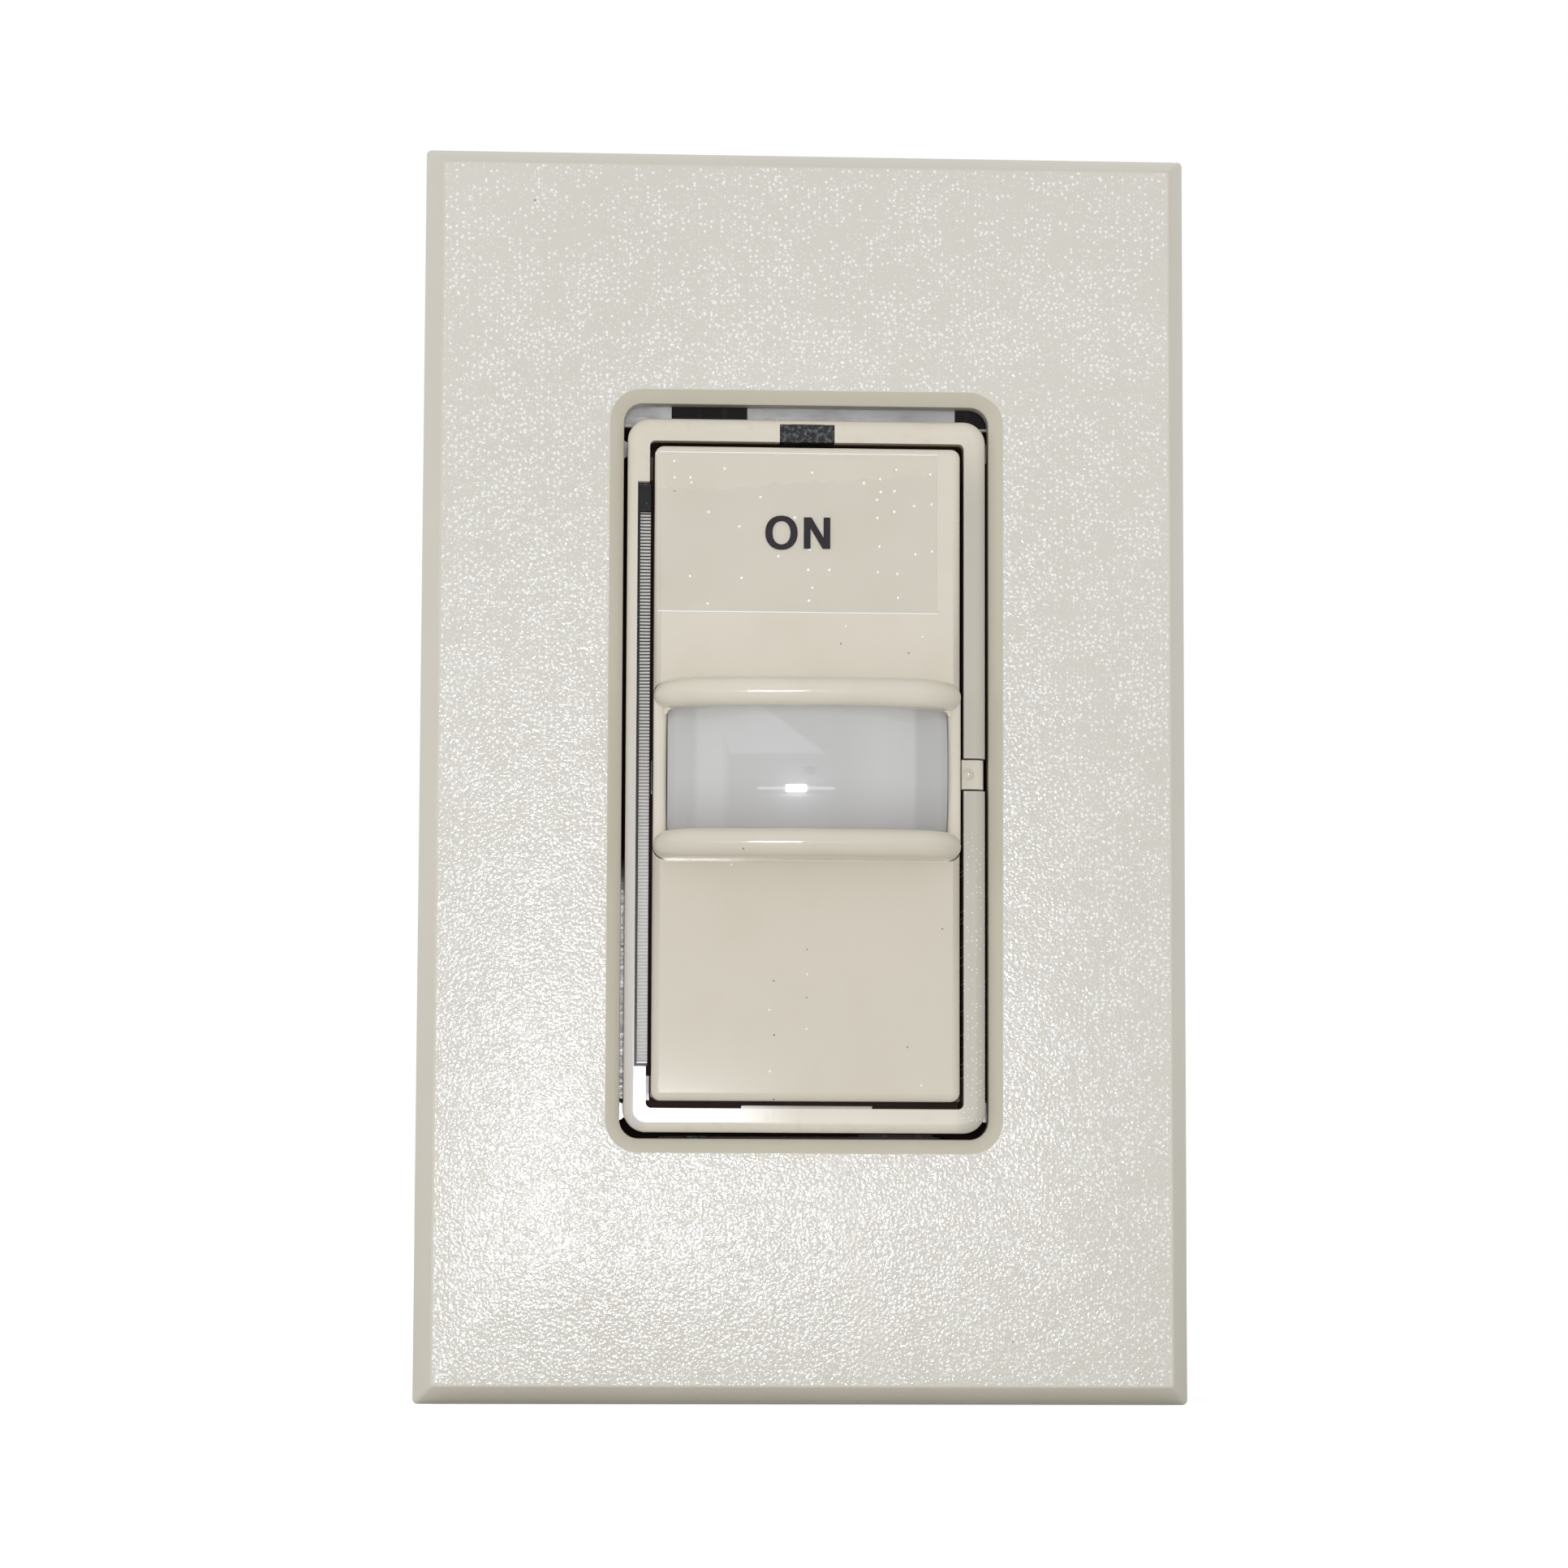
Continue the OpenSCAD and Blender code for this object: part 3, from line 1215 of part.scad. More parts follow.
module housing_screws() {
  shank_len = housing_in - housing_back_t + strap_t - seat_gap;
  color(steel) upright() for (side = SIDES, end = SIDES)
    translate([side * column_x, end * column_y, housing_back_t - housing_in]) rotate([180, 0, 0])
      pan_screw(housing_screw_r, shank_len, housing_head_r, housing_head_h);
}

module terminal_plates() {
  half_w = pocket_w / 2 - terminal_plate_margin;
  half_len = pocket_len / 2 - terminal_plate_margin;
  color(brass) upright() for (t = TERMINALS) mirror([t[0] < 0 ? 1 : 0, 0, 0])
    translate([pocket_floor_x, t[1], -pocket_mid_in]) difference() {
      span([0, -half_w, -half_len], [terminal_plate_t, half_w, half_len]);
      translate([-cut_past, 0, 0]) rotate([0, 90, 0])
        cylinder(terminal_plate_t + 2 * cut_past, screw_r + screw_gap, screw_r + screw_gap);
    }
}

module terminal_screws() {
  color(brass) upright() for (t = TERMINALS) mirror([t[0] < 0 ? 1 : 0, 0, 0])
    translate([pocket_floor_x + terminal_plate_t, t[1], -pocket_mid_in]) rotate([0, 90, 0])
      pan_screw(screw_r, terminal_plate_t + housing_wall, pan_head_r, pan_head_h);
}

wall_plate();
plate_mounting_frame();
plate_screws();
mounting_strap();
box_screws();
ground_screw();
bezel_frame();
bezel_screws();
deck_plate();
light_bar();
light_bar_holder();
bar_leds();
photocell_window();
photocell();
service_button();
button_switch();
paddle();
sensor_lens();
lens_retainer();
plunger_top();
plunger_bottom();
spring_top();
spring_bottom();
rocker_switches();
control_board();
pir_holder();
pir_sensor();
pir_window();
microcontroller();
board_header();
power_board();
relay();
capacitors();
transformer();
varistor();
fuse();
rear_housing();
housing_screws();
terminal_plates();
terminal_screws();
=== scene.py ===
import math

import bmesh
import bpy
from mathutils import Matrix, Vector


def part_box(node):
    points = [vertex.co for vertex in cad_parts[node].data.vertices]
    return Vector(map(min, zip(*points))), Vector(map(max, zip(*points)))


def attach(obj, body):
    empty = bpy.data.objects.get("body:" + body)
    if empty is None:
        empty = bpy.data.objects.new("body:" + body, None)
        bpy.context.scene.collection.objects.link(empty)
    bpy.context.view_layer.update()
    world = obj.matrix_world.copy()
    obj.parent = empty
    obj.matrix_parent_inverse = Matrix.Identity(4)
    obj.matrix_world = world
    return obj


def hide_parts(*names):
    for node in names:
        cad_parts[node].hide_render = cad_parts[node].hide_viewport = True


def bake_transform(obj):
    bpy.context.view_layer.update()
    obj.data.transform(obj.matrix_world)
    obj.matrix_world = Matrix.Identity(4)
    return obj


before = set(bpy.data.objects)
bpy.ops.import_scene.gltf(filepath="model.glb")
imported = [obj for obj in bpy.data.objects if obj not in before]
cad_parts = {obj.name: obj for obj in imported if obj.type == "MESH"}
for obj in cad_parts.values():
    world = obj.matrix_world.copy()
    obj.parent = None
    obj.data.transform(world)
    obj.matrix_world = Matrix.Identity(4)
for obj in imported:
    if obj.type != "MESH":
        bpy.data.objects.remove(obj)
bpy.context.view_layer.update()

# The studio: a pale sweep that the switch stands on by the plate's lower edge, and a white surround that
# lights it, a little more from the left and less from above. Two lamps beside the camera, a small one and
# a long weak one, give the gloss.
scene = bpy.context.scene
scene.view_settings.view_transform = "Standard"
mm = 0.001


def add(name, data):
    """A new object in the scene."""
    made = bpy.data.objects.new(name, data)
    scene.collection.objects.link(made)
    return made


class Nodes:
    """A node tree and short ways to fill it. A value is a number, a colour or a socket to link from."""

    def __init__(self, tree, where=None):
        self.tree = tree
        self.where = where

    def put(self, kind, settings=None, inputs=(), **named):
        """Adds a node, with inputs in their order or by name, where _ stands for a space."""
        node = self.tree.nodes.new(kind)
        for key, value in (settings or {}).items():
            setattr(node, key, value)
        pairs = list(zip(node.inputs, inputs))
        for key, value in named.items():
            by_id = [s for s in node.inputs if s.identifier == key]
            by_name = [s for s in node.inputs if s.name == key.replace("_", " ")]
            pairs.append(((by_id or by_name)[0], value))
        for socket, value in pairs:
            if isinstance(value, bpy.types.NodeSocket):
                self.wire(value, socket)
            else:
                socket.default_value = value
        return node

    def wire(self, source, target):
        self.tree.links.new(source, target)

    def maths(self, operation, *values):
        return self.put("ShaderNodeMath", {"operation": operation}, values).outputs[0]

    def spread(self, value, start, end, low=0.0, high=1.0, **settings):
        """Stretches a value, so that start gives low and end gives high, and holds it between them."""
        return self.put("ShaderNodeMapRange", settings, Value=value, From_Min=start, From_Max=end,
                        To_Min=low, To_Max=high).outputs[0]

    def along(self, direction):
        """How far each place lies along a direction."""
        return self.put("ShaderNodeVectorMath", {"operation": "DOT_PRODUCT"},
                        [self.where, direction]).outputs["Value"]


def emptied(holder):
    """The node tree of a material or a world, with nothing in it."""
    holder.use_nodes = True
    holder.node_tree.nodes.clear()
    return holder.node_tree


photo_px, focal_px, sensor_mm = 1932, 5500, 36
camera_place = Vector((-23.58, -407.95, -39.16)) * mm
camera_roll, camera_tilt, camera_turn = 0.0039, -0.0948, 0.0538
camera = add("camera", bpy.data.cameras.new("camera"))
camera.data.sensor_width = sensor_mm
camera.data.lens = focal_px / photo_px * sensor_mm
camera.data.clip_start, camera.data.clip_end = 10 * mm, 20
sight = (Matrix.Rotation(camera_roll, 3, "Y") @ Matrix.Rotation(camera_tilt, 3, "X")
         @ Matrix.Rotation(camera_turn, 3, "Z"))
right, ahead, up = sight
camera.matrix_world = Matrix.Translation(camera_place) @ Matrix((right, up, -ahead)).transposed().to_4x4()
scene.camera = camera

floor_reach, floor_white, floor_glow = 3, 0.88, 0.58
floor_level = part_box("wall_plate")[0].z
floor_mesh = bpy.data.meshes.new("floor")
floor_mesh.from_pydata([(x * floor_reach, y * floor_reach, floor_level)
                        for x, y in ((-1, -1), (1, -1), (1, 1), (-1, 1))], [], [(0, 1, 2, 3)])
floor = add("floor", floor_mesh)
floor_paint = bpy.data.materials.new("floor_paint")
paint = Nodes(emptied(floor_paint))
matt = paint.put("ShaderNodeBsdfDiffuse", Color=(floor_white, floor_white, floor_white, 1))
seen = paint.put("ShaderNodeLightPath").outputs["Is Camera Ray"]
glow = paint.put("ShaderNodeEmission", Color=(1, 1, 1, 1), Strength=paint.maths("MULTIPLY", seen, floor_glow))
both = paint.put("ShaderNodeAddShader", inputs=[matt.outputs[0], glow.outputs[0]])
paint.put("ShaderNodeOutputMaterial", Surface=both.outputs[0])
floor_mesh.materials.append(floor_paint)

surround_level, side_fall, height_fall = 0.75, 0.25, 0.22
scene.world = bpy.data.worlds.new("surround")
sky = Nodes(emptied(scene.world))
sky.where = sky.put("ShaderNodeTexCoord").outputs["Generated"]
ray = sky.put("ShaderNodeLightPath").outputs
seen = sky.maths("MAXIMUM", ray["Is Camera Ray"], ray["Is Transmission Ray"])
seen_or_mirrored = sky.maths("MAXIMUM", seen, ray["Is Glossy Ray"])
lean = sky.along((-side_fall, 0, -height_fall))
soft_level = sky.maths("MULTIPLY_ADD", lean, surround_level, surround_level)
level = sky.spread(seen_or_mirrored, 0.0, 1.0, soft_level, 1.0)
white = sky.put("ShaderNodeBackground", Color=(1, 1, 1, 1), Strength=level)
sky.put("ShaderNodeOutputWorld", Surface=white.outputs[0])

lamp_place = Vector((-25, -420, -37)) * mm
flash_colour = (0.98, 0.985, 1.06)
for name, width, height, watts in (("camera_lamp", 70, 24, 0.42), ("long_lamp", 280, 9, 0.055)):
    lamp = add(name, bpy.data.lights.new(name, "AREA"))
    lamp.data.shape = "RECTANGLE"
    lamp.data.size, lamp.data.size_y = width * mm, height * mm
    lamp.data.energy = watts
    lamp.data.color = flash_colour
    lamp.location = lamp_place
    lamp.rotation_mode = "QUATERNION"
    lamp.rotation_quaternion = (-lamp_place).to_track_quat("-Z", "Y")

# The rear housing: a deep tray of dark moulded plastic that holds both boards and keeps the mains in.
# Its faces carry the fine spark grain of the mould, with a little chalky handling wear.


def tone(red, green, blue):
    """A colour written as it shows on a screen, 0 to 255, in the renderer's linear scale."""
    shares = [v / 255 for v in (red, green, blue)]
    return (*[v / 12.92 if v < 0.04 else ((v + 0.055) / 1.055) ** 2.4 for v in shares], 1)


class Pattern(Nodes):
    """Nodes that draw on a piece, from the piece's own coordinates."""

    def noise(self, scale, detail, where=None, **more):
        """A cloudy pattern round 0.5."""
        return self.put("ShaderNodeTexNoise", Vector=where or self.where, Scale=scale, Detail=detail,
                        **more).outputs["Fac"]

    def product(self, *values):
        """All the values multiplied."""
        result = values[0]
        for value in values[1:]:
            result = self.maths("MULTIPLY", result, value)
        return result

    def layers(self, ground, *covers, blend="MIX"):
        """Lays colours over a ground, each where its mask is set."""
        for mask, colour in covers:
            mix = self.put("ShaderNodeMix", {"data_type": "RGBA", "blend_type": blend}, Factor_Float=mask,
                           A_Color=ground, B_Color=colour)
            ground = next(s for s in mix.outputs if s.identifier == "Result_Color")
        return ground

    def use(self, group, **named):
        """Places a node group and returns its outputs."""
        return self.put("ShaderNodeGroup", {"node_tree": group.tree}, Where=self.where, **named).outputs


def shader_group(name, inputs, outputs):
    """An empty node group that reads places: its pattern, what it is given and what it makes."""
    group = bpy.data.node_groups.new(name, "ShaderNodeTree")
    kinds = {float: "NodeSocketFloat", tuple: "NodeSocketColor"}
    group.interface.new_socket("Where", in_out="INPUT", socket_type="NodeSocketVector")
    for key, value in inputs.items():
        socket = group.interface.new_socket(key, in_out="INPUT", socket_type=kinds[type(value)])
        socket.default_value = value
    for key, kind in outputs.items():
        group.interface.new_socket(key, in_out="OUTPUT", socket_type=kinds[kind])
    given = group.nodes.new("NodeGroupInput").outputs
    return Pattern(group, given["Where"]), given, group.nodes.new("NodeGroupOutput").inputs


# Moulded skin: cloudy shade and gloss, as moulded plastic has, and a fine grain for the bump
moulded_skin, given, made = shader_group(
    "moulded_skin", {"Colour": (0.5, 0.5, 0.5, 1), "Shade": 0.06, "Gloss": 0.3, "Gloss spread": 0.1,
                     "Cloud": 90.0, "Grain": 6000.0},
    {"Colour": tuple, "Roughness": float, "Grain": float})
shade_colour = (0.25, 0.22, 0.17, 1)
cloud = moulded_skin.spread(moulded_skin.noise(given["Cloud"], 3.0), 0.3, 0.7)
shade = moulded_skin.product(cloud, given["Shade"])
shaded = moulded_skin.layers(given["Colour"], (shade, shade_colour), blend="MULTIPLY")
moulded_skin.wire(shaded, made["Colour"])
smear = moulded_skin.maths("SUBTRACT", moulded_skin.noise(310.0, 5.0), 0.5)
gloss = moulded_skin.maths("MULTIPLY_ADD", smear, given["Gloss spread"], given["Gloss"])
moulded_skin.wire(gloss, made["Roughness"])
moulded_skin.wire(moulded_skin.noise(given["Grain"], 2.0), made["Grain"])

# Fine scratches: thin lines along a few directions, broken up so that none runs far
fine_scratches, given, made = shader_group(
    "fine_scratches", {"Spacing": 900.0, "Cover": 0.4}, {"Mask": float})
scratches = 0.0
for turn in (0.3, 1.25, 2.4):
    drawn = fine_scratches.put("ShaderNodeMapping", Vector=given["Where"], Rotation=(0, turn, 0),
                               Scale=(1, 0.05, 0.05))
    line = fine_scratches.spread(fine_scratches.noise(given["Spacing"], 1.0, drawn.outputs[0]), 0.66, 0.72)
    scratches = fine_scratches.maths("MAXIMUM", scratches, line)
fine_scratches.wire(fine_scratches.product(scratches, given["Cover"]), made["Mask"])


class Finish(Pattern):
    """A material in the making, with its shader and the ground that other colours are laid on."""

    def __init__(self, name, colour, roughness, **plain):
        self.material = bpy.data.materials.new(name)
        super().__init__(emptied(self.material))
        self.shader = self.put("ShaderNodeBsdfPrincipled", Base_Color=colour, Roughness=roughness, **plain)
        self.put("ShaderNodeOutputMaterial", Surface=self.shader.outputs[0])
        self.where = self.put("ShaderNodeTexCoord").outputs["Object"]
        self.ground = colour

    def feed(self, **sources):
        """Links each source to the shader's input of that name."""
        for key, source in sources.items():
            self.wire(source, self.shader.inputs[key.replace("_", " ")])

    def cover(self, *covers):
        """Lays colours over the finish, each where its mask is set."""
        self.feed(Base_Color=self.layers(self.ground, *covers))


class Moulded(Finish):
    """Finish of a moulded plastic piece, with its skin, and a grain whose depth is in mm."""

    def __init__(self, name, colour, gloss, shade=0.06, gloss_spread=0.12, cloud=90.0, grain=6000.0,
                 depth=0.002, **plain):
        super().__init__(name, colour, gloss, **plain)
        skin = self.use(moulded_skin, Colour=colour, Shade=shade, Gloss=gloss, Gloss_spread=gloss_spread,
                        Cloud=cloud, Grain=grain)
        self.ground, self.gloss = skin["Colour"], skin["Roughness"]
        self.bump = self.put("ShaderNodeBump", Distance=depth * mm, Height=skin["Grain"])
        self.feed(Base_Color=self.ground, Roughness=self.gloss, Normal=self.bump.outputs[0])


def dress(finish, *nodes):
    """Gives CAD nodes their finish."""
    for node in nodes:
        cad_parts[node].data.materials[0] = finish.material


housing_finish = Moulded("housing_finish", tone(42, 37, 35), 0.5, shade=0.3, grain=3800.0, depth=0.012,
                         Specular_IOR_Level=0.2)
rubs = housing_finish.use(fine_scratches, Spacing=1500.0, Cover=0.1)["Mask"]
housing_finish.cover((rubs, tone(112, 111, 110)))
dress(housing_finish, "rear_housing")

# The terminals: three stamped brass plates let into the housing's sides, each under a binding screw
# that clamps a bare wire. The screws are turned brass with a driver slot, dulled by handling.


class Metal(Finish):
    """Finish of bare or plated metal: drawn streaks in the gloss, and a tarnish in clouds."""

    def __init__(self, name, colour, gloss, tarnish, streak=(400.0, 60.0, 60.0)):
        super().__init__(name, colour, gloss, Metallic=1.0)
        drawn = self.put("ShaderNodeMapping", Vector=self.where, Scale=streak)
        lines = self.noise(12.0, 5.0, drawn.outputs[0])
        clouds = self.spread(self.noise(260.0, 6.0), 0.4, 0.75, 0.0, 0.5)
        relief = self.put("ShaderNodeBump", Distance=0.003 * mm, Height=lines)
        self.ground = self.layers(colour, (clouds, tarnish))
        self.feed(Base_Color=self.ground, Normal=relief.outputs[0],
                  Roughness=self.spread(lines, 0.25, 0.75, gloss * 0.7, gloss * 1.5))


brass_finish = Metal("brass_finish", tone(196, 160, 92), 0.3, tone(140, 104, 62))
dress(brass_finish, "terminal_plates")
weld = 1e-7


def as_object(name, shape):
    """Closes a bmesh into an object with its faces pointing outwards."""
    bmesh.ops.remove_doubles(shape, verts=shape.verts, dist=weld)
    bmesh.ops.recalc_face_normals(shape, faces=shape.faces)
    mesh = bpy.data.meshes.new(name)
    shape.to_mesh(mesh)
    shape.free()
    return add(name, mesh)


def settle(piece, smooth_angle=35):
    """Applies a piece's modifiers, so that it is a plain mesh, and smooths it up to an angle."""
    bpy.context.view_layer.update()
    evaluated = piece.evaluated_get(bpy.context.evaluated_depsgraph_get())
    mesh = bpy.data.meshes.new_from_object(evaluated)
    mesh.name = piece.name
    piece.modifiers.clear()
    piece.data = mesh
    mesh.shade_smooth()
    mesh.set_sharp_from_angle(angle=math.radians(smooth_angle))
    return piece


def angles(start, end, steps):
    """Angles in even steps, with both ends."""
    return [start + (end - start) * i / steps for i in range(steps + 1)]


def band(shape, one, two, material=0):
    """Faces between two rings of vertices, either of which may be a single point."""
    steps = max(len(one), len(two))
    for i in range(steps):
        j = (i + 1) % steps
        corners = [one[i % len(one)], one[j % len(one)], two[j % len(two)], two[i % len(two)]]
        shape.faces.new(list(dict.fromkeys(corners))).material_index = material


def lathe(name, outline, steps=40):
    """A turned solid round z from an outline of (radius, height) points; the ends lie on the axis."""
    shape = bmesh.new()
    rings = [[shape.verts.new((radius * math.cos(a), radius * math.sin(a), height))
              for a in (angles(0, 2 * math.pi, steps)[:-1] if radius else [0])] for radius, height in outline]
    for low, high in zip(rings, rings[1:]):
        band(shape, low, high)
    return as_object(name, shape)


def block(shape, low, high):
    """Adds a box between two corners to a bmesh."""
    middle, size = (Vector(low) + Vector(high)) / 2, Vector(high) - Vector(low)
    bmesh.ops.create_cube(shape, size=1, matrix=Matrix.Translation(middle) @ Matrix.Diagonal((*size, 1)))


def cut(piece, low, high):
    """Cuts a box out of a piece."""
    shape = bmesh.new()
    block(shape, low, high)
    cutter = as_object(piece.name + "_cutter", shape)
    remover = piece.modifiers.new("cut", "BOOLEAN")
    remover.operation, remover.object, remover.solver = "DIFFERENCE", cutter, "EXACT"
    settle(piece)
    bpy.data.objects.remove(cutter)


slot_w, slot_d = 0.9 * mm, 0.8 * mm


def pan_head(name, radius, height):
    """Rounded screw head on z = 0 with a driver slot."""
    edge = height / 2
    arc = [(radius - edge + edge * math.cos(a), height - edge + edge * math.sin(a))
           for a in angles(0, math.pi / 2, 6)]
    head = lathe(name, [(0, 0), (radius, 0), *arc, (0, height)])
    cut(head, (-radius, -slot_w / 2, height - slot_d), (radius, slot_w / 2, height * 2))
    return head


def node_tree(name, inputs, output):
    """An empty Geometry Nodes tree and what it is given, from the names and kinds of its inputs."""
    tree = bpy.data.node_groups.new(name, "GeometryNodeTree")
    for key, kind in inputs.items():
        tree.interface.new_socket(key, in_out="INPUT", socket_type="NodeSocket" + kind)
    tree.interface.new_socket(output, in_out="OUTPUT", socket_type="NodeSocketGeometry")
    return Nodes(tree), tree.nodes.new("NodeGroupInput").outputs


def realise(nodes, geometry, finish):
    """Ends a Geometry Nodes tree with plain geometry in its finish."""
    real = nodes.put("GeometryNodeRealizeInstances", Geometry=geometry)
    done = nodes.put("GeometryNodeSetMaterial", Geometry=real.outputs[0], Material=finish)
    nodes.wire(done.outputs[0], nodes.tree.nodes.new("NodeGroupOutput").inputs[0])


def raised(nodes, geometry, height):
    """Geometry moved along z."""
    return nodes.put("GeometryNodeTransform", Geometry=geometry,
                     Translation=nodes.put("ShaderNodeCombineXYZ", Z=height).outputs[0]).outputs[0]


# Screws on spots: sets a screw, with a rolled thread behind its head, on every point that it is given
screw_nodes, given = node_tree(
    "screws_on_spots", {"Spots": "Geometry", "Head": "Object", "Shank radius": "Float", "Pitch": "Float",
                        "Length": "Float", "Finish": "Material"}, "Screws")
root = screw_nodes.maths("MULTIPLY_ADD", given["Pitch"], -0.5, given["Shank radius"])
core = screw_nodes.put("GeometryNodeMeshCylinder", Vertices=24, Radius=root, Depth=given["Length"])
run = screw_nodes.maths("SUBTRACT", given["Length"], given["Pitch"])
turns = screw_nodes.maths("DIVIDE", run, given["Pitch"])
helix = screw_nodes.put("GeometryNodeCurveSpiral", Resolution=20, Rotations=turns, Start_Radius=root,
                        End_Radius=root, Height=run)
steady = screw_nodes.put("GeometryNodeSetCurveNormal", {"mode": "Z_UP"}, Curve=helix.outputs[0])
crest = screw_nodes.maths("MULTIPLY", given["Pitch"], 0.5)
profile = screw_nodes.put("GeometryNodeCurvePrimitiveCircle", Resolution=4, Radius=crest)
thread = screw_nodes.put("GeometryNodeCurveToMesh", Curve=steady.outputs[0], Profile_Curve=profile.outputs[0],
                         Fill_Caps=True)
tip = screw_nodes.maths("MULTIPLY", given["Length"], -1.0)
head = screw_nodes.put("GeometryNodeObjectInfo", Object=given["Head"])
whole = screw_nodes.put("GeometryNodeJoinGeometry")
for part in (raised(screw_nodes, core.outputs["Mesh"], screw_nodes.maths("MULTIPLY", given["Length"], -0.5)),
             raised(screw_nodes, thread.outputs[0],
                    screw_nodes.maths("MULTIPLY_ADD", given["Pitch"], 0.5, tip)), head.outputs["Geometry"]):
    screw_nodes.wire(part, whole.inputs[0])
facing = screw_nodes.put("GeometryNodeInputNamedAttribute", {"data_type": "FLOAT_VECTOR"}, Name="facing")
aim = screw_nodes.put("FunctionNodeAlignRotationToVector", {"axis": "Z"}, Vector=facing.outputs[0])
placed = screw_nodes.put("GeometryNodeInstanceOnPoints", Points=given["Spots"], Instance=whole.outputs[0],
                         Rotation=aim.outputs[0])
realise(screw_nodes, placed.outputs[0], given["Finish"])


def through_tree(name, source, nodes, **values):
    """Runs an object through a node tree with its inputs set, and leaves a plain mesh."""
    source.name = name
    modifier = source.modifiers.new(nodes.tree.name, "NODES")
    modifier.node_group = nodes.tree
    for item in nodes.tree.interface.items_tree:
        key = item.name.replace(" ", "_")
        if item.in_out == "INPUT" and key in values:
            modifier[item.identifier] = values[key]
    return settle(source)


def screws(node, head, spots, shank_r, pitch, length, finish):
    """Screws that stand for a CAD node: each spot is the seat of a head and the way that it faces."""
    mesh = bpy.data.meshes.new(node + "_spots")
    mesh.from_pydata([place for place, _ in spots], [], [])
    ways = mesh.attributes.new("facing", "FLOAT_VECTOR", "POINT")
    for i, (_, way) in enumerate(spots):
        ways.data[i].vector = way
    made = through_tree(node + "_turned", add(node + "_spots", mesh), screw_nodes, Head=head,
                        Shank_radius=shank_r, Pitch=pitch, Length=length, Finish=finish.material)
    bpy.data.objects.remove(head)
    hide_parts(node)
    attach(made, "switch_body")


screw_r, screw_pitch = 1.75 * mm, 0.8 * mm
pan_r, pan_h = 3.4 * mm, 2.0 * mm
low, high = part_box("terminal_screws")
terminal_row, terminal_shank = 13 * mm, 2.9 * mm
terminal_depth = (low.y + high.y) / 2
terminal_seat = high.x - pan_h
terminal_spots = [((side * terminal_seat, terminal_depth, z), (side, 0, 0))
                  for side, z in ((1, terminal_row), (1, -terminal_row), (-1, 0))]
screws("terminal_screws", pan_head("terminal_head", pan_r, pan_h), terminal_spots, screw_r, screw_pitch,
       terminal_shank, brass_finish)

# The power board: glass-epoxy with dark brown lacquer over copper tracks, and on it the relay, transformer,
# capacitors, varistor and fuse that feed the sensor and switch the lamp.


def fronted(pattern):
    """Places turned so that a flat pattern lies on what looks to the front."""
    return pattern.put("ShaderNodeMapping", Vector=pattern.where, Rotation=(math.pi / 2, 0, 0)).outputs[0]


board_finish = Finish("board_finish", tone(36, 27, 20), 0.4, Specular_IOR_Level=0.2)
tracks = board_finish.put("ShaderNodeTexBrick", {"offset": 0.35, "squash": 0.6, "squash_frequency": 3},
                          Vector=fronted(board_finish), Scale=160.0, Mortar_Size=0.05,
                          Color1=tone(34, 25, 18), Color2=tone(40, 30, 22), Mortar=tone(74, 58, 38))
relief = board_finish.put("ShaderNodeBump", Distance=0.03 * mm, Height=tracks.outputs["Fac"])
weave = board_finish.noise(2400.0, 3.0)
board_finish.feed(Base_Color=tracks.outputs["Color"], Normal=relief.outputs[0],
                  Roughness=board_finish.spread(weave, 0.0, 1.0, 0.3, 0.5))
dress(board_finish, "power_board", "control_board")
dress(Moulded("relay_finish", tone(32, 56, 104), 0.38, grain=5200.0, depth=0.006), "relay")
dress(Moulded("capacitor_finish", tone(28, 30, 46), 0.3, shade=0.2, grain=2600.0), "capacitors")
dress(Moulded("tape_finish", tone(206, 168, 62), 0.4, shade=0.25, cloud=260.0, grain=1500.0, depth=0.02),
      "transformer")
dress(Moulded("varistor_finish", tone(34, 74, 122), 0.45, shade=0.25, grain=1800.0, depth=0.03), "varistor")
black_finish = Moulded("black_finish", tone(28, 22, 19), 0.45, shade=0.25, grain=4200.0, depth=0.004,
                       Specular_IOR_Level=0.12)
dress(black_finish, "fuse", "board_header", "microcontroller", "button_switch", "rocker_switches",
      "pir_holder", "lens_retainer")

# The sensors on the control board: the motion sensor's drawn metal can with its dark filter, the
# photocell behind the small window in the bezel, and the row of lamps that feed the light bar.
can_finish = Metal("can_finish", tone(176, 174, 168), 0.26, tone(130, 126, 118), streak=(60.0, 400.0, 60.0))
dress(can_finish, "pir_sensor")
dress(Moulded("filter_finish", tone(44, 30, 34), 0.12, shade=0.3, grain=2000.0, Coat_Weight=0.5),
      "pir_window")
dress(Moulded("photocell_finish", tone(176, 172, 160), 0.16, shade=0.2, Coat_Weight=0.6), "photocell")
led_finish = Moulded("led_finish", tone(232, 230, 214), 0.3)
phosphor = led_finish.spread(led_finish.noise(5200.0, 2.0), 0.45, 0.6)
led_finish.cover((phosphor, tone(228, 208, 120)))
dress(led_finish, "bar_leds")

# The mounting strap: a stamped steel yoke, zinc plated, that carries the whole device on the wall box.
# Its box, ground and housing screws are rolled steel; the ground screw is dyed green.
strap_finish = Metal("strap_finish", tone(196, 196, 193), 0.42, tone(146, 142, 134),
                     streak=(60.0, 60.0, 300.0))


def place_on(pattern, axis):
    """The place along one of the piece's axes."""
    return pattern.put("ShaderNodeSeparateXYZ", Vector=pattern.where).outputs[axis]


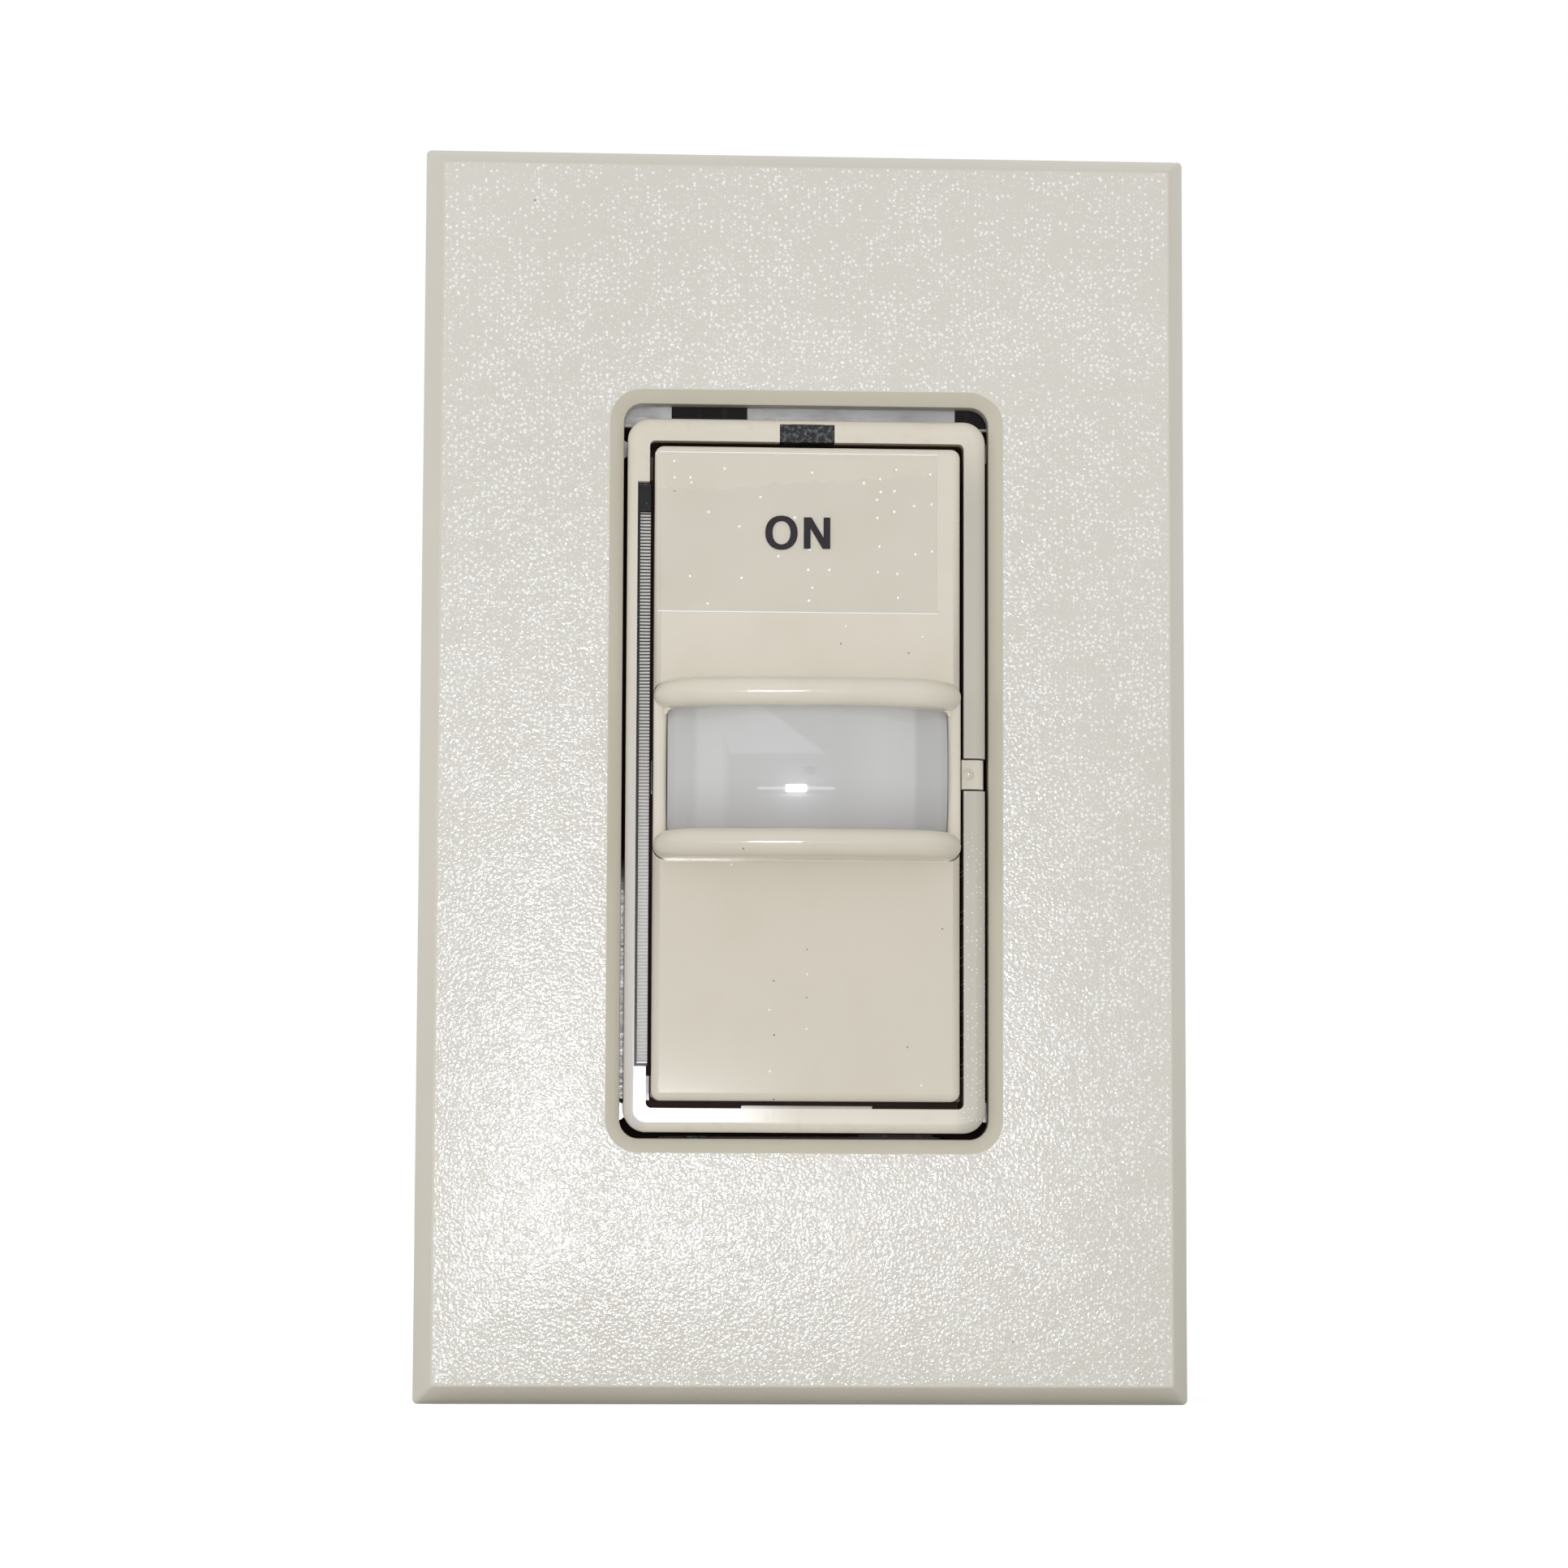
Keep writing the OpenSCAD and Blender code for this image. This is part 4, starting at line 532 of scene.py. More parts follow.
def within(pattern, *ramps):
    """A mask of ramps multiplied, each from 0 to 1 along an axis, between two places in mm."""
    return pattern.product(*[pattern.spread(place_on(pattern, axis), start * mm, end * mm,
                                            interpolation_type="SMOOTHSTEP") for axis, start, end in ramps])


# Painted shade in the gap round the bezel, under its bottom rail and beside its side rails: the strap is dark
# brown and not metallic there
low_gap = within(strap_finish, ("Z", -30.7, -31.0), ("Z", -35, -34.6))
left_gap = within(strap_finish, ("X", -14.9, -15.2), ("Z", -12, -7))
right_gap = within(strap_finish, ("X", 14.9, 15.2))
below_top = within(strap_finish, ("Z", 32.6, 32.35))
side_gaps = strap_finish.product(strap_finish.maths("MAXIMUM", left_gap, right_gap), below_top)
painted_gap_shade = strap_finish.maths("MAXIMUM", low_gap, side_gaps)
bare = strap_finish.maths("SUBTRACT", 1.0, painted_gap_shade)
strap_finish.cover((painted_gap_shade, tone(34, 25, 20)))
strap_finish.feed(Metallic=bare, Specular_IOR_Level=strap_finish.product(bare, 0.5))
dress(strap_finish, "mounting_strap")

steel_finish = Metal("steel_finish", tone(178, 177, 174), 0.28, tone(128, 124, 116))
green_finish = Metal("green_finish", tone(46, 116, 68), 0.34, tone(30, 84, 52))
strap_t = -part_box("mounting_strap")[0].y
low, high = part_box("box_screws")
box_z, box_seat = high.z - pan_r, low.y + pan_h
screws("box_screws", pan_head("box_head", pan_r, pan_h),
       [((0, box_seat, z), (0, -1, 0)) for z in (box_z, -box_z)], screw_r, screw_pitch, high.y - box_seat,
       steel_finish)
low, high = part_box("ground_screw")
ground_spot = ((low.x + high.x) / 2, 0, (low.z + high.z) / 2)
screws("ground_screw", pan_head("ground_head", pan_r, pan_h), [(ground_spot, (0, 1, 0))], screw_r,
       screw_pitch, strap_t, green_finish)
low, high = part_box("housing_screws")
housing_head_r, housing_head_h, housing_screw_r, housing_pitch = 2.2 * mm, 1.5 * mm, 1.2 * mm, 0.6 * mm
housing_x, housing_z = high.x - housing_head_r, high.z - housing_head_r
housing_seat = high.y - housing_head_h
screws("housing_screws", pan_head("housing_head", housing_head_r, housing_head_h),
       [((x, housing_seat, z), (0, 1, 0)) for x in (-housing_x, housing_x) for z in (-housing_z, housing_z)],
       housing_screw_r, housing_pitch, housing_seat - low.y, steel_finish)

# The bezel and the deck: an almond frame that latches through the strap and is held by two small
# blackened screws, round a black plate with the paddle's bearings. Its right rail, its deep walls and its
# pads are painted darker as shade, and dust specks lie on the right rail.
dress(Moulded("deck_finish", tone(64, 43, 31), 0.5, shade=0.3, grain=4200.0, depth=0.004,
              Specular_IOR_Level=0.1), "deck_plate")
almond = tone(226, 219, 203)

# Dust specks: crumbs of uneven size on what looks to the front, thinned by a cover share
dust_specks, given, made = shader_group(
    "dust_specks", {"Spacing": 1500.0, "Cover": 0.1, "Size": 0.1}, {"Mask": float})
cells = dust_specks.put("ShaderNodeTexVoronoi", {"voronoi_dimensions": "2D"}, Vector=fronted(dust_specks),
                        Scale=given["Spacing"]).outputs
lot = dust_specks.put("ShaderNodeSeparateColor", Color=cells["Color"]).outputs[0]
picked = dust_specks.maths("LESS_THAN", lot, given["Cover"])
reach = dust_specks.maths("MULTIPLY_ADD", dust_specks.noise(9000.0, 1.0), given["Size"], cells["Distance"])
speck = dust_specks.spread(reach, dust_specks.product(given["Size"], 1.4), given["Size"])
dust_specks.wire(dust_specks.product(speck, picked), made["Mask"])


def specks(finish, spacing, cover, size):
    """A mask of specks: cells per metre, the share of them that has one, and its size in its cell."""
    return finish.use(dust_specks, Spacing=spacing, Cover=cover, Size=size)["Mask"]


bezel_finish = Moulded("bezel_finish", almond, 0.17, shade=0.05, gloss_spread=0.06, grain=3000.0,
                       depth=0.0012)
grime = bezel_finish.spread(bezel_finish.noise(700.0, 5.0), 0.55, 0.8, 0.0, 0.3)
# The right rail is painted darker as shade
right_rail_shade = within(bezel_finish, ("X", 13, 15), ("Z", 33, 24))
# The left rail's lower part is greyer
left_rail_grey = within(bezel_finish, ("X", -14, -15), ("Z", 24, -12))
# The deep walls, inside and outside, and the pads under the paddle are painted darker as shade
shaded_walls = within(bezel_finish, ("Y", -6.7, -5.4))
shaded_pads = within(bezel_finish, ("X", -12.5, -12), ("X", 12.5, 12), ("Z", -30.1, -29.95), ("Z", -27, -28))
right_rail = within(bezel_finish, ("X", 13.4, 14.2), ("Z", -3, -9))
dust = bezel_finish.product(specks(bezel_finish, 2600.0, 0.35, 0.22), right_rail)
bezel_finish.cover((grime, tone(196, 184, 156)), (right_rail_shade, tone(198, 192, 178)),
                   (left_rail_grey, tone(212, 207, 199)), (shaded_walls, tone(86, 58, 36)), (shaded_pads, tone(128, 114, 84)),
                   (dust, tone(244, 243, 238)))
right_half = within(bezel_finish, ("X", -7, 1))
bezel_finish.feed(Roughness=bezel_finish.maths("MULTIPLY_ADD", right_half, 0.2, bezel_finish.gloss))
dress(bezel_finish, "bezel_frame")
blackened_finish = Metal("blackened_finish", tone(52, 51, 50), 0.45, tone(34, 33, 32))
low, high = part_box("bezel_screws")
bezel_head_r, bezel_head_h, bezel_screw_r, bezel_pitch = 1.7 * mm, 1.2 * mm, 0.75 * mm, 0.45 * mm
bezel_x, bezel_z = high.x - bezel_head_r, high.z - bezel_head_r
screws("bezel_screws", pan_head("bezel_head", bezel_head_r, bezel_head_h),
       [((side * bezel_x, 0, side * bezel_z), (0, 1, 0)) for side in (1, -1)], bezel_screw_r, bezel_pitch,
       -low.y, blackened_finish)

# The light bar: a clear blade with fine ribs across its edge, which shows the lamps behind it, in a
# black holder that closes the slot. The ribs' light and shade are painted on it as a ladder: pale crests
# are painted highlights, dark roots painted shade, and its lower end is painted brighter as glare.
holder_finish = Moulded("holder_finish", tone(22, 21, 22), 0.3, shade=0.3, Specular_IOR_Level=0.25)
holder_finish.cover((specks(holder_finish, 1500.0, 0.18, 0.1), tone(120, 118, 112)))
dress(holder_finish, "light_bar_holder")
rib_pitch = 0.3 * mm
wave_unit = 20
bar_finish = Moulded("bar_finish", tone(250, 248, 244), 0.3, shade=0.12, cloud=420.0, grain=2400.0,
                     Coat_Weight=1.0, Coat_Roughness=0.26)
ribs = bar_finish.put("ShaderNodeTexWave",
                      {"wave_type": "BANDS", "bands_direction": "Z", "wave_profile": "SIN"},
                      Vector=bar_finish.where, Scale=2 * math.pi / rib_pitch / wave_unit, Distortion=0.6,
                      Detail=1.0, Detail_Scale=0.8)
# Painted rib highlights and painted shade, with painted glare towards the lower end
rib_highlights = bar_finish.spread(ribs.outputs["Fac"], 0.28, 0.6)
lower_glare = within(bar_finish, ("Z", 14, -16))
rib_shade_tone = bar_finish.layers(tone(34, 30, 28), (lower_glare, tone(222, 215, 211)))
rib_highlight_tone = bar_finish.layers(bar_finish.ground, (lower_glare, tone(255, 255, 254)))
bar_finish.feed(Base_Color=bar_finish.layers(rib_shade_tone, (rib_highlights, rib_highlight_tone)))
dress(bar_finish, "light_bar")

# The photocell window: a smoked tile let into the bezel's top rail, with a stem that leads daylight down
# to the sensor. Its face is finely scratched.
tile_finish = Moulded("tile_finish", tone(32, 33, 35), 0.3, shade=0.3, Specular_IOR_Level=0.25)
scuffs = tile_finish.spread(tile_finish.noise(2600.0, 4.0, Roughness=0.7), 0.48, 0.64, 0.0, 0.6)
tile_finish.cover((scuffs, tone(134, 136, 138)))
dress(tile_finish, "photocell_window")

# The service button: a small key in the bezel's right rail with a hollow for a pen tip, on a stem that
# presses the switch behind it. It is moulded in the bezel's almond.
dress(Moulded("button_finish", almond, 0.16, shade=0.08, gloss_spread=0.06, grain=3000.0, depth=0.0012),
      "service_button")

# The plungers and their return springs: white acetal pins that follow the paddle's back, each on a coil
# of drawn spring wire that stands on its switch.
dress(Moulded("acetal_finish", tone(226, 225, 218), 0.34, shade=0.05, Subsurface_Weight=0.1,
              Subsurface_Radius=(0.6 * mm, 0.6 * mm, 0.5 * mm)), "plunger_top", "plunger_bottom")
spring_finish = Metal("spring_finish", tone(150, 150, 152), 0.22, tone(104, 102, 100))

# Coil spring: lies along y from its foot, drawn from its sizes
coil_nodes, given = node_tree(
    "coil_spring", {"Start": "Geometry", "Foot": "Vector", "Coil radius": "Float", "Wire": "Float",
                    "Turns": "Float", "Length": "Float", "Finish": "Material"}, "Spring")
helix = coil_nodes.put("GeometryNodeCurveSpiral", Resolution=28, Rotations=given["Turns"],
                       Start_Radius=given["Coil radius"], End_Radius=given["Coil radius"],
                       Height=given["Length"])
profile = coil_nodes.put("GeometryNodeCurvePrimitiveCircle", Resolution=10, Radius=given["Wire"])
coil = coil_nodes.put("GeometryNodeCurveToMesh", Curve=helix.outputs[0], Profile_Curve=profile.outputs[0],
                      Fill_Caps=True)
laid = coil_nodes.put("GeometryNodeTransform", Geometry=coil.outputs[0], Translation=given["Foot"],
                      Rotation=(math.pi / 2, 0, 0))
realise(coil_nodes, laid.outputs[0], given["Finish"])
spring_turns = 4.0
wire_r = 0.2 * mm
for node, body in (("spring_top", "upper_plunger"), ("spring_bottom", "lower_plunger")):
    low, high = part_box(node)
    coil_r = (high.x - low.x) / 2 - wire_r
    middle = (low + high) / 2
    coil = through_tree(node + "_coil", add(node, bpy.data.meshes.new(node)), coil_nodes,
                        Foot=(middle.x, high.y - wire_r, middle.z), Coil_radius=coil_r, Wire=wire_r,
                        Turns=spring_turns, Length=high.y - low.y - 2 * wire_r, Finish=spring_finish.material)
    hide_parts(node)
    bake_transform(coil)

# The paddle: an almond rocker moulded with two brows round its lens window. It is glossy, with soft
# handling marks and a few crumbs of dirt.
paddle_finish = Moulded("paddle_finish", almond, 0.07, shade=0.05, gloss_spread=0.02, cloud=70.0,
                        grain=2600.0, depth=0.0012)
wear = paddle_finish.spread(paddle_finish.noise(150.0, 6.0), 0.5, 0.85, 0.0, 0.25)
# The lower half is darker
lower_half_darker = paddle_finish.product(within(paddle_finish, ("Z", -4, -7)), 0.3)
crumbs = specks(paddle_finish, 330.0, 0.06, 0.04)
lint = specks(paddle_finish, 290.0, 0.07, 0.035)
paddle_finish.cover((wear, tone(206, 196, 170)), (lower_half_darker, tone(200, 192, 172)),
                    (crumbs, tone(150, 142, 124)), (lint, tone(255, 255, 252)))

# The body is the CAD's up to the flat of its face, and the brows and ridges are moulded on it
face_y = -8.6 * mm
shape = bmesh.new()
shape.from_mesh(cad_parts["paddle"].data)
bmesh.ops.bisect_plane(shape, geom=shape.verts[:] + shape.edges[:] + shape.faces[:], plane_co=(0, face_y, 0),
                       plane_no=(0, -1, 0), dist=weld, clear_outer=True)
side_x, lip_in, lip_h, lip_r, lip_turn = 13.85 * mm, 5.5 * mm, 2.5 * mm, 1.2 * mm, 5 * mm
nose_out, nose_r, lip_foot = 14.6 * mm, 60 * mm, 8.2 * mm
curve_out = nose_out - nose_r
turn_x = side_x - lip_turn
turn_out = curve_out + math.sqrt((nose_r - lip_turn) ** 2 - turn_x ** 2)
turn_angle = math.atan2(turn_x, turn_out - curve_out)
half_path = [(nose_r * math.sin(a), curve_out + nose_r * math.cos(a), a) for a in angles(0, turn_angle, 32)]
half_path += [(turn_x + lip_turn * math.sin(a), turn_out + lip_turn * math.cos(a), a)
              for a in angles(turn_angle, math.pi / 2, 10)[1:]]
half_path.append((side_x, lip_foot, math.pi / 2))
lip_path = [(-x, out, -a) for x, out, a in half_path[:0:-1]] + half_path
quarter = [(lip_r * (1 - math.sin(a)), lip_r * (1 - math.cos(a))) for a in angles(0, math.pi / 2, 8)]
lip_section = quarter + [(inset, lip_h - rise) for inset, rise in quarter[::-1]]


def loft(rows):
    """Closes a band of vertex rows into a solid: along the rows, round the section and over both ends."""
    for one, two in zip(rows, rows[1:]):
        band(shape, one, two)
    shape.faces.new(rows[0])
    shape.faces.new(rows[-1][::-1])


for row in (-1, 1):
    rows = []
    for x, out, a in lip_path:
        points = [(x - inset * math.sin(a), min(-lip_foot, -(out - inset * math.cos(a))), lip_in + rise)
                  for inset, rise in lip_section]
        points = [(points[0][0], -lip_foot, lip_in), *points, (points[-1][0], -lip_foot, lip_in + lip_h)]
        rows.append([shape.verts.new((px, py, row * pz)) for px, py, pz in points])
    loft(rows)
cheek_in, cheek_out, cheek_r = 12.65 * mm, 9.3 * mm, 0.5 * mm
crown = [(cheek_r * math.sin(a), cheek_r * (1 - math.cos(a))) for a in angles(0, math.pi / 2, 6)]
ridge_half = lip_in + lip_r
ridge = [(cheek_in, lip_foot)]
ridge += [(cheek_in + cheek_r - across, cheek_out - drop) for across, drop in crown[::-1]]
ridge += [(side_x - cheek_r + across, cheek_out - drop) for across, drop in crown] + [(side_x, lip_foot)]
corner_r, corner_out, corner_sunk = 0.5 * mm, 9.6 * mm, 0.3 * mm
corner = [(cheek_in + corner_sunk, lip_in + corner_sunk), (cheek_in - corner_r, lip_in + corner_sunk)]
corner += [(cheek_in - corner_r + corner_r * math.sin(a), lip_in - corner_r + corner_r * math.cos(a))
           for a in angles(0, math.pi / 2, 8)]
corner.append((cheek_in + corner_sunk, lip_in - corner_r))
for side in (-1, 1):
    loft([[shape.verts.new((side * x, -out, z)) for x, out in ridge] for z in (-ridge_half, ridge_half)])
    loft([[shape.verts.new((side * x, -out, z)) for x, z in corner] for out in (lip_foot, corner_out)])
paddle = settle(as_object("paddle_moulded", shape))

# The edges round the flat face are sharp, so that its gloss stays even up to them
flat_enough = 0.9999
sides = {}
for part in paddle.data.polygons:
    for key in part.edge_keys:
        sides.setdefault(key, set()).add(part.normal.y < -flat_enough)
for edge in paddle.data.edges:
    edge.use_edge_sharp = edge.use_edge_sharp or len(sides[edge.key]) > 1
paddle.data.materials.clear()
paddle.data.materials.append(paddle_finish.material)
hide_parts("paddle")
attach(paddle, "rocker")

# The sensor lens: a milky polythene dome that lets warmth through to the motion sensor. Its inside is cut
# in flat zones, which show through as upright bands. A lighter slanted patch on it is a painted reflection,
# and its lower half is painted darker as shade.
lens_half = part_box("sensor_lens")[1].x
lens_finish = Moulded("lens_finish", tone(196, 196, 196), 0.3, shade=0.05, gloss_spread=0.1, cloud=160.0,
                      grain=2400.0, depth=0.002, Specular_IOR_Level=0.2, Coat_Weight=0.7, Coat_Roughness=0.05)
across = lens_finish.spread(place_on(lens_finish, "X"), -lens_half, lens_half)
bands = lens_finish.put("ShaderNodeValToRGB", Fac=across)
zone_tones = [(0.0, 184), (0.03, 195), (0.09, 193), (0.11, 207), (0.19, 207), (0.22, 195), (0.5, 195),
              (0.62, 197), (0.75, 207), (0.87, 208), (0.89, 190), (0.97, 194), (1.0, 184)]
stops = bands.color_ramp.elements
for i, (place, value) in enumerate(zone_tones):
    stop = stops[i] if i < 2 else stops.new(place)
    stop.position = place
    stop.color = tone(value, value, value - 3)
# A painted reflection: a lighter slanted patch
reflection_left = lens_finish.spread(lens_finish.along((1, 0, 0.3)), -6.9 * mm, -6.6 * mm)
reflection_right = lens_finish.spread(lens_finish.along((1, 0, 1.3)), 3.1 * mm, 2.6 * mm)
painted_reflection = lens_finish.product(reflection_left, reflection_right, within(lens_finish, ("Z", 1.0, 1.3)), 0.9)
# Painted shade, darker towards the bottom
lower_shade = lens_finish.product(within(lens_finish, ("Z", -1, -5.4)), 0.5)
lens_tone = lens_finish.layers(bands.outputs["Color"], (painted_reflection, tone(207, 207, 205)),
                               (lower_shade, tone(164, 162, 160)))
lens_finish.cover((0.85, lens_tone))
dress(lens_finish, "sensor_lens")

# The label: a strip of clear film stuck on the paddle's upper half, lifting a little along its top,
# with the one word printed in dark grey. The film's sizes and the places on it are in mm.
film_left, film_right, film_foot, film_top = -13.55, 11.75, 14.4, 29.0
film_t, film_gap, ripple_h = 0.06, 0.05, 0.004
lift_band, lift_wave, lift_slope = 3.2, 0.5, 0.012
columns, rows = 84, 48


def film_point(i, j):
    """A place on the film, faintly rippled, and lifted in a wavy band along its top."""
    x = film_left + (film_right - film_left) * i / columns
    z = film_foot + (film_top - film_foot) * j / rows
    lift = max(0, z - film_top + lift_band + lift_wave * math.sin(0.9 * x))
    ripple = ripple_h * math.sin(1.7 * x + 0.6 * z) * math.sin(1.1 * z - 0.35 * x)
    return x * mm, face_y + (ripple - film_gap - lift_slope * lift) * mm, z * mm


shape = bmesh.new()
grid = [[shape.verts.new(film_point(i, j)) for i in range(columns + 1)] for j in range(rows + 1)]
for below, above in zip(grid, grid[1:]):
    for i in range(columns):
        shape.faces.new((below[i], below[i + 1], above[i + 1], above[i]))
film = as_object("label_film", shape)
thickness = film.modifiers.new("thickness", "SOLIDIFY")
thickness.thickness, thickness.offset = film_t * mm, 0
settle(film, 50)
film_finish = Moulded("film_finish", tone(214, 212, 203), 0.1, shade=0.03, grain=700.0, depth=0.002,
                      Alpha=0.12)
# The bright specks are painted glints, and the bright lines along the cut edges are painted highlights
film_glints = specks(film_finish, 640.0, 0.28, 0.13)
edge_highlights = [within(film_finish, ("Z", film_foot + 0.16, film_foot + 0.05)),
             within(film_finish, ("Z", film_top - 0.14, film_top - 0.05)),
             film_finish.product(within(film_finish, ("X", film_right - 0.12, film_right - 0.04)), 0.3)]
for edge in edge_highlights:
    film_glints = film_finish.maths("MAXIMUM", film_glints, edge)
film_finish.cover((film_glints, tone(252, 252, 250)))
wander = film_finish.noise(210.0, 6.0, Roughness=0.62)
climb = film_finish.maths("MULTIPLY_ADD", wander, 2.6 * mm, film_finish.along((-0.06, 0, 1)))
stuck = film_finish.spread(climb, 27.75 * mm, 27.6 * mm, 0.06, 0.13)
film_finish.feed(Alpha=film_finish.maths("MULTIPLY_ADD", film_glints, 0.85, stuck))
film.data.materials.append(film_finish.material)
film.visible_shadow = False
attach(film, "rocker")

word_back, word_front = face_y - 0.09 * mm, face_y - 0.105 * mm
letter_foot, letter_h = 20.25 * mm, 2.87 * mm
round_x, round_w, round_h, round_side, round_cap = -2.395 * mm, 2.93 * mm, 3.13 * mm, 0.66 * mm, 0.51 * mm
squareness = 0.92
n_left, n_w, stem, slant = -0.37 * mm, 2.4 * mm, 0.61 * mm, 0.69 * mm
shape = bmesh.new()


def letter_ring(half_w, half_h, y, steps=56):
    """An upright oval of vertices, a little squarer than an ellipse."""
    middle_z = letter_foot + letter_h / 2
    turns = [(math.cos(a), math.sin(a)) for a in angles(0, 2 * math.pi, steps)[:-1]]
    return [shape.verts.new((round_x + half_w * math.copysign(abs(c) ** squareness, c), y,
                             middle_z + half_h * math.copysign(abs(s) ** squareness, s))) for c, s in turns]


def wrap(rings, material_of=lambda step: 0):
    """Joins each ring to the next, and the last to the first, with the material that its step has."""
    for step, (one, two) in enumerate(zip(rings, rings[1:] + rings[:1])):
        band(shape, one, two, material_of(step))


outside, inside = (round_w / 2, round_h / 2), (round_w / 2 - round_side, round_h / 2 - round_cap)
wrap([letter_ring(*outside, word_back), letter_ring(*outside, word_front), letter_ring(*inside, word_front),
      letter_ring(*inside, word_back)])
knee = letter_h * stem / (n_w - slant)
n_points = [(0, 0), (0, letter_h), (slant, letter_h), (n_w - stem, knee), (n_w - stem, letter_h),
            (n_w, letter_h), (n_w, 0), (n_w - slant, 0), (stem, letter_h - knee), (stem, 0)]
loft([[shape.verts.new((n_left + x, y, letter_foot + z)) for x, z in n_points]
      for y in (word_front, word_back)])
bmesh.ops.triangulate(shape, faces=[f for f in shape.faces if len(f.verts) > 4])
word = as_object("printed_word", shape)
ink_finish = Moulded("ink_finish", tone(50, 45, 49), 0.4, shade=0.35, cloud=900.0, grain=5000.0,
                     Specular_IOR_Level=0.15)
word.data.materials.append(ink_finish.material)
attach(word, "rocker")

# The mounting frame: a flat almond frame that the plate snaps on to. Two countersunk steel screws hold it
# to the strap, under the plate, so that none shows in the plate's face.
dress(Moulded("frame_finish", almond, 0.42, shade=0.08, grain=3200.0, depth=0.005), "plate_mounting_frame")
low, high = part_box("plate_screws")
flat_r, flat_h, flat_edge = high.x, 1.5 * mm, 3.2 * mm
flat_z = high.z - flat_edge
slot_half = flat_r * 1.1
flat_head = lathe("flat_head", [(0, 0), (screw_r, 0), (flat_r, flat_h), (0, flat_h)])
cut(flat_head, (-slot_half, -slot_w / 2, flat_h - slot_d), (slot_half, slot_w / 2, flat_h * 2))
screws("plate_screws", flat_head, [((0, low.y + flat_h, z), (0, -1, 0)) for z in (-flat_z, flat_z)], screw_r,
       screw_pitch, high.y - low.y - flat_h, steel_finish)

# The wall plate: a screwless plate moulded in pearl plastic, with a pebbled face, smooth bevels and a
# smooth chamfer round the opening. Four arms behind it snap under the mounting frame.
plate_low, plate_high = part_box("wall_plate")
plate_mid_z = (plate_low.z + plate_high.z) / 2
plate_w, plate_h = plate_high.x - plate_low.x, plate_high.z - plate_low.z
plate_out = -plate_low.y
bevel_w, bevel_d, bevel_foot_r, bevel_top_r = 1.65 * mm, 3.1 * mm, 0.5 * mm, 0.3 * mm
side_t, face_t, rim_cut, face_run = 1.6 * mm, 2.3 * mm, 0.15 * mm, 4 * mm
outer_r, least_r, back_r = 0.45 * mm, 0.2 * mm, 0.4 * mm
opening_w, opening_h, opening_r = 33.27 * mm, 66.8 * mm, 1.7 * mm
chamfer_w, chamfer_d, chamfer_top_r, chamfer_foot_r = 1.26 * mm, 0.7 * mm, 0.25 * mm, 0.15 * mm


def rounded_turn(before, point, after, radius, steps=4):
    """Points that round off one corner of a profile."""
    first, last = (before - point).normalized(), (after - point).normalized()
    angle = first.angle(last)
    reach = radius / math.tan(angle / 2)
    centre = point + (first + last).normalized() * radius / math.sin(angle / 2)
    start, end = point + first * reach - centre, point + last * reach - centre
    sweep = math.pi - angle
    return [centre + (start * math.sin(sweep * (1 - t)) + end * math.sin(sweep * t)) / math.sin(sweep)
            for t in [i / steps for i in range(steps + 1)]]


def ring(w, h, r, out, steps=8):
    """A rounded rectangle of vertices, out of the wall by a depth."""
    points = []
    for quarter, (sx, sz) in enumerate([(1, 1), (-1, 1), (-1, -1), (1, -1)]):
        for a in angles(math.pi / 2 * quarter, math.pi / 2 * (quarter + 1), steps):
            points.append(shape.verts.new((sx * (w / 2 - r) + r * math.cos(a), -out,
                                           plate_mid_z + sz * (h / 2 - r) + r * math.sin(a))))
    return points


shape = bmesh.new()
rim, wall, shoulder, edge, face = [Vector(p) for p in (
    (rim_cut, 0), (0, rim_cut), (0, plate_out - bevel_d), (bevel_w, plate_out), (face_run, plate_out))]
profile = [rim, wall, *rounded_turn(wall, shoulder, edge, bevel_foot_r),
           *rounded_turn(shoulder, edge, face, bevel_top_r)]
rings = [ring(plate_w - 2 * x, plate_h - 2 * x, max(outer_r - x * 0.1, least_r), out) for x, out in profile]
face_step = len(rings) - 1
face, edge, shoulder, wall = [Vector(p) for p in (
    (-face_run, plate_out), (-chamfer_w, plate_out), (0, plate_out - chamfer_d), (0, plate_out - face_t))]
profile = [*rounded_turn(face, edge, shoulder, chamfer_top_r),
           *rounded_turn(edge, shoulder, wall, chamfer_foot_r), wall]
rings += [ring(opening_w - 2 * x, opening_h - 2 * x, opening_r - x, out) for x, out in profile]
lip_end = len(rings) - 1
back_w, back_h = plate_w - 2 * side_t, plate_h - 2 * side_t
rings += [ring(back_w - 2 * x, back_h - 2 * x, back_r, out)
          for x, out in ((bevel_w, plate_out - face_t), (0, plate_out - face_t - bevel_d), (0, 0))]
face_slot, edge_slot, lip_slot = 0, 1, 2


def plate_slot(step):
    """Which of the plate's three finishes a step between two rings has."""
    if step == face_step:
        return face_slot
    return lip_slot if face_step < step < lip_end else edge_slot


wrap(rings, plate_slot)
arm_gap, arm_root = 0.15 * mm, 0.2 * mm
arm_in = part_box("plate_mounting_frame")[1].x + arm_gap
arm_w, arm_t, arm_row = 10 * mm, 1.2 * mm, 30 * mm
nib_reach, nib_t, nib_gap = 0.75 * mm, 0.7 * mm, 0.05 * mm
nib_top = strap_t - nib_gap
for side in (-1, 1):
    for row in (-1, 1):
        z = plate_mid_z + row * arm_row
        near, far, tip = side * arm_in, side * (arm_in + arm_t), side * (arm_in - nib_reach)
        block(shape, (min(near, far), -(plate_out - face_t) - arm_root, z - arm_w / 2),
              (max(near, far), nib_t - nib_top, z + arm_w / 2))
        block(shape, (min(near, tip), -nib_top, z - arm_w / 2),
              (max(near, tip), nib_t - nib_top, z + arm_w / 2))
plate = as_object("wall_plate_moulded", shape)
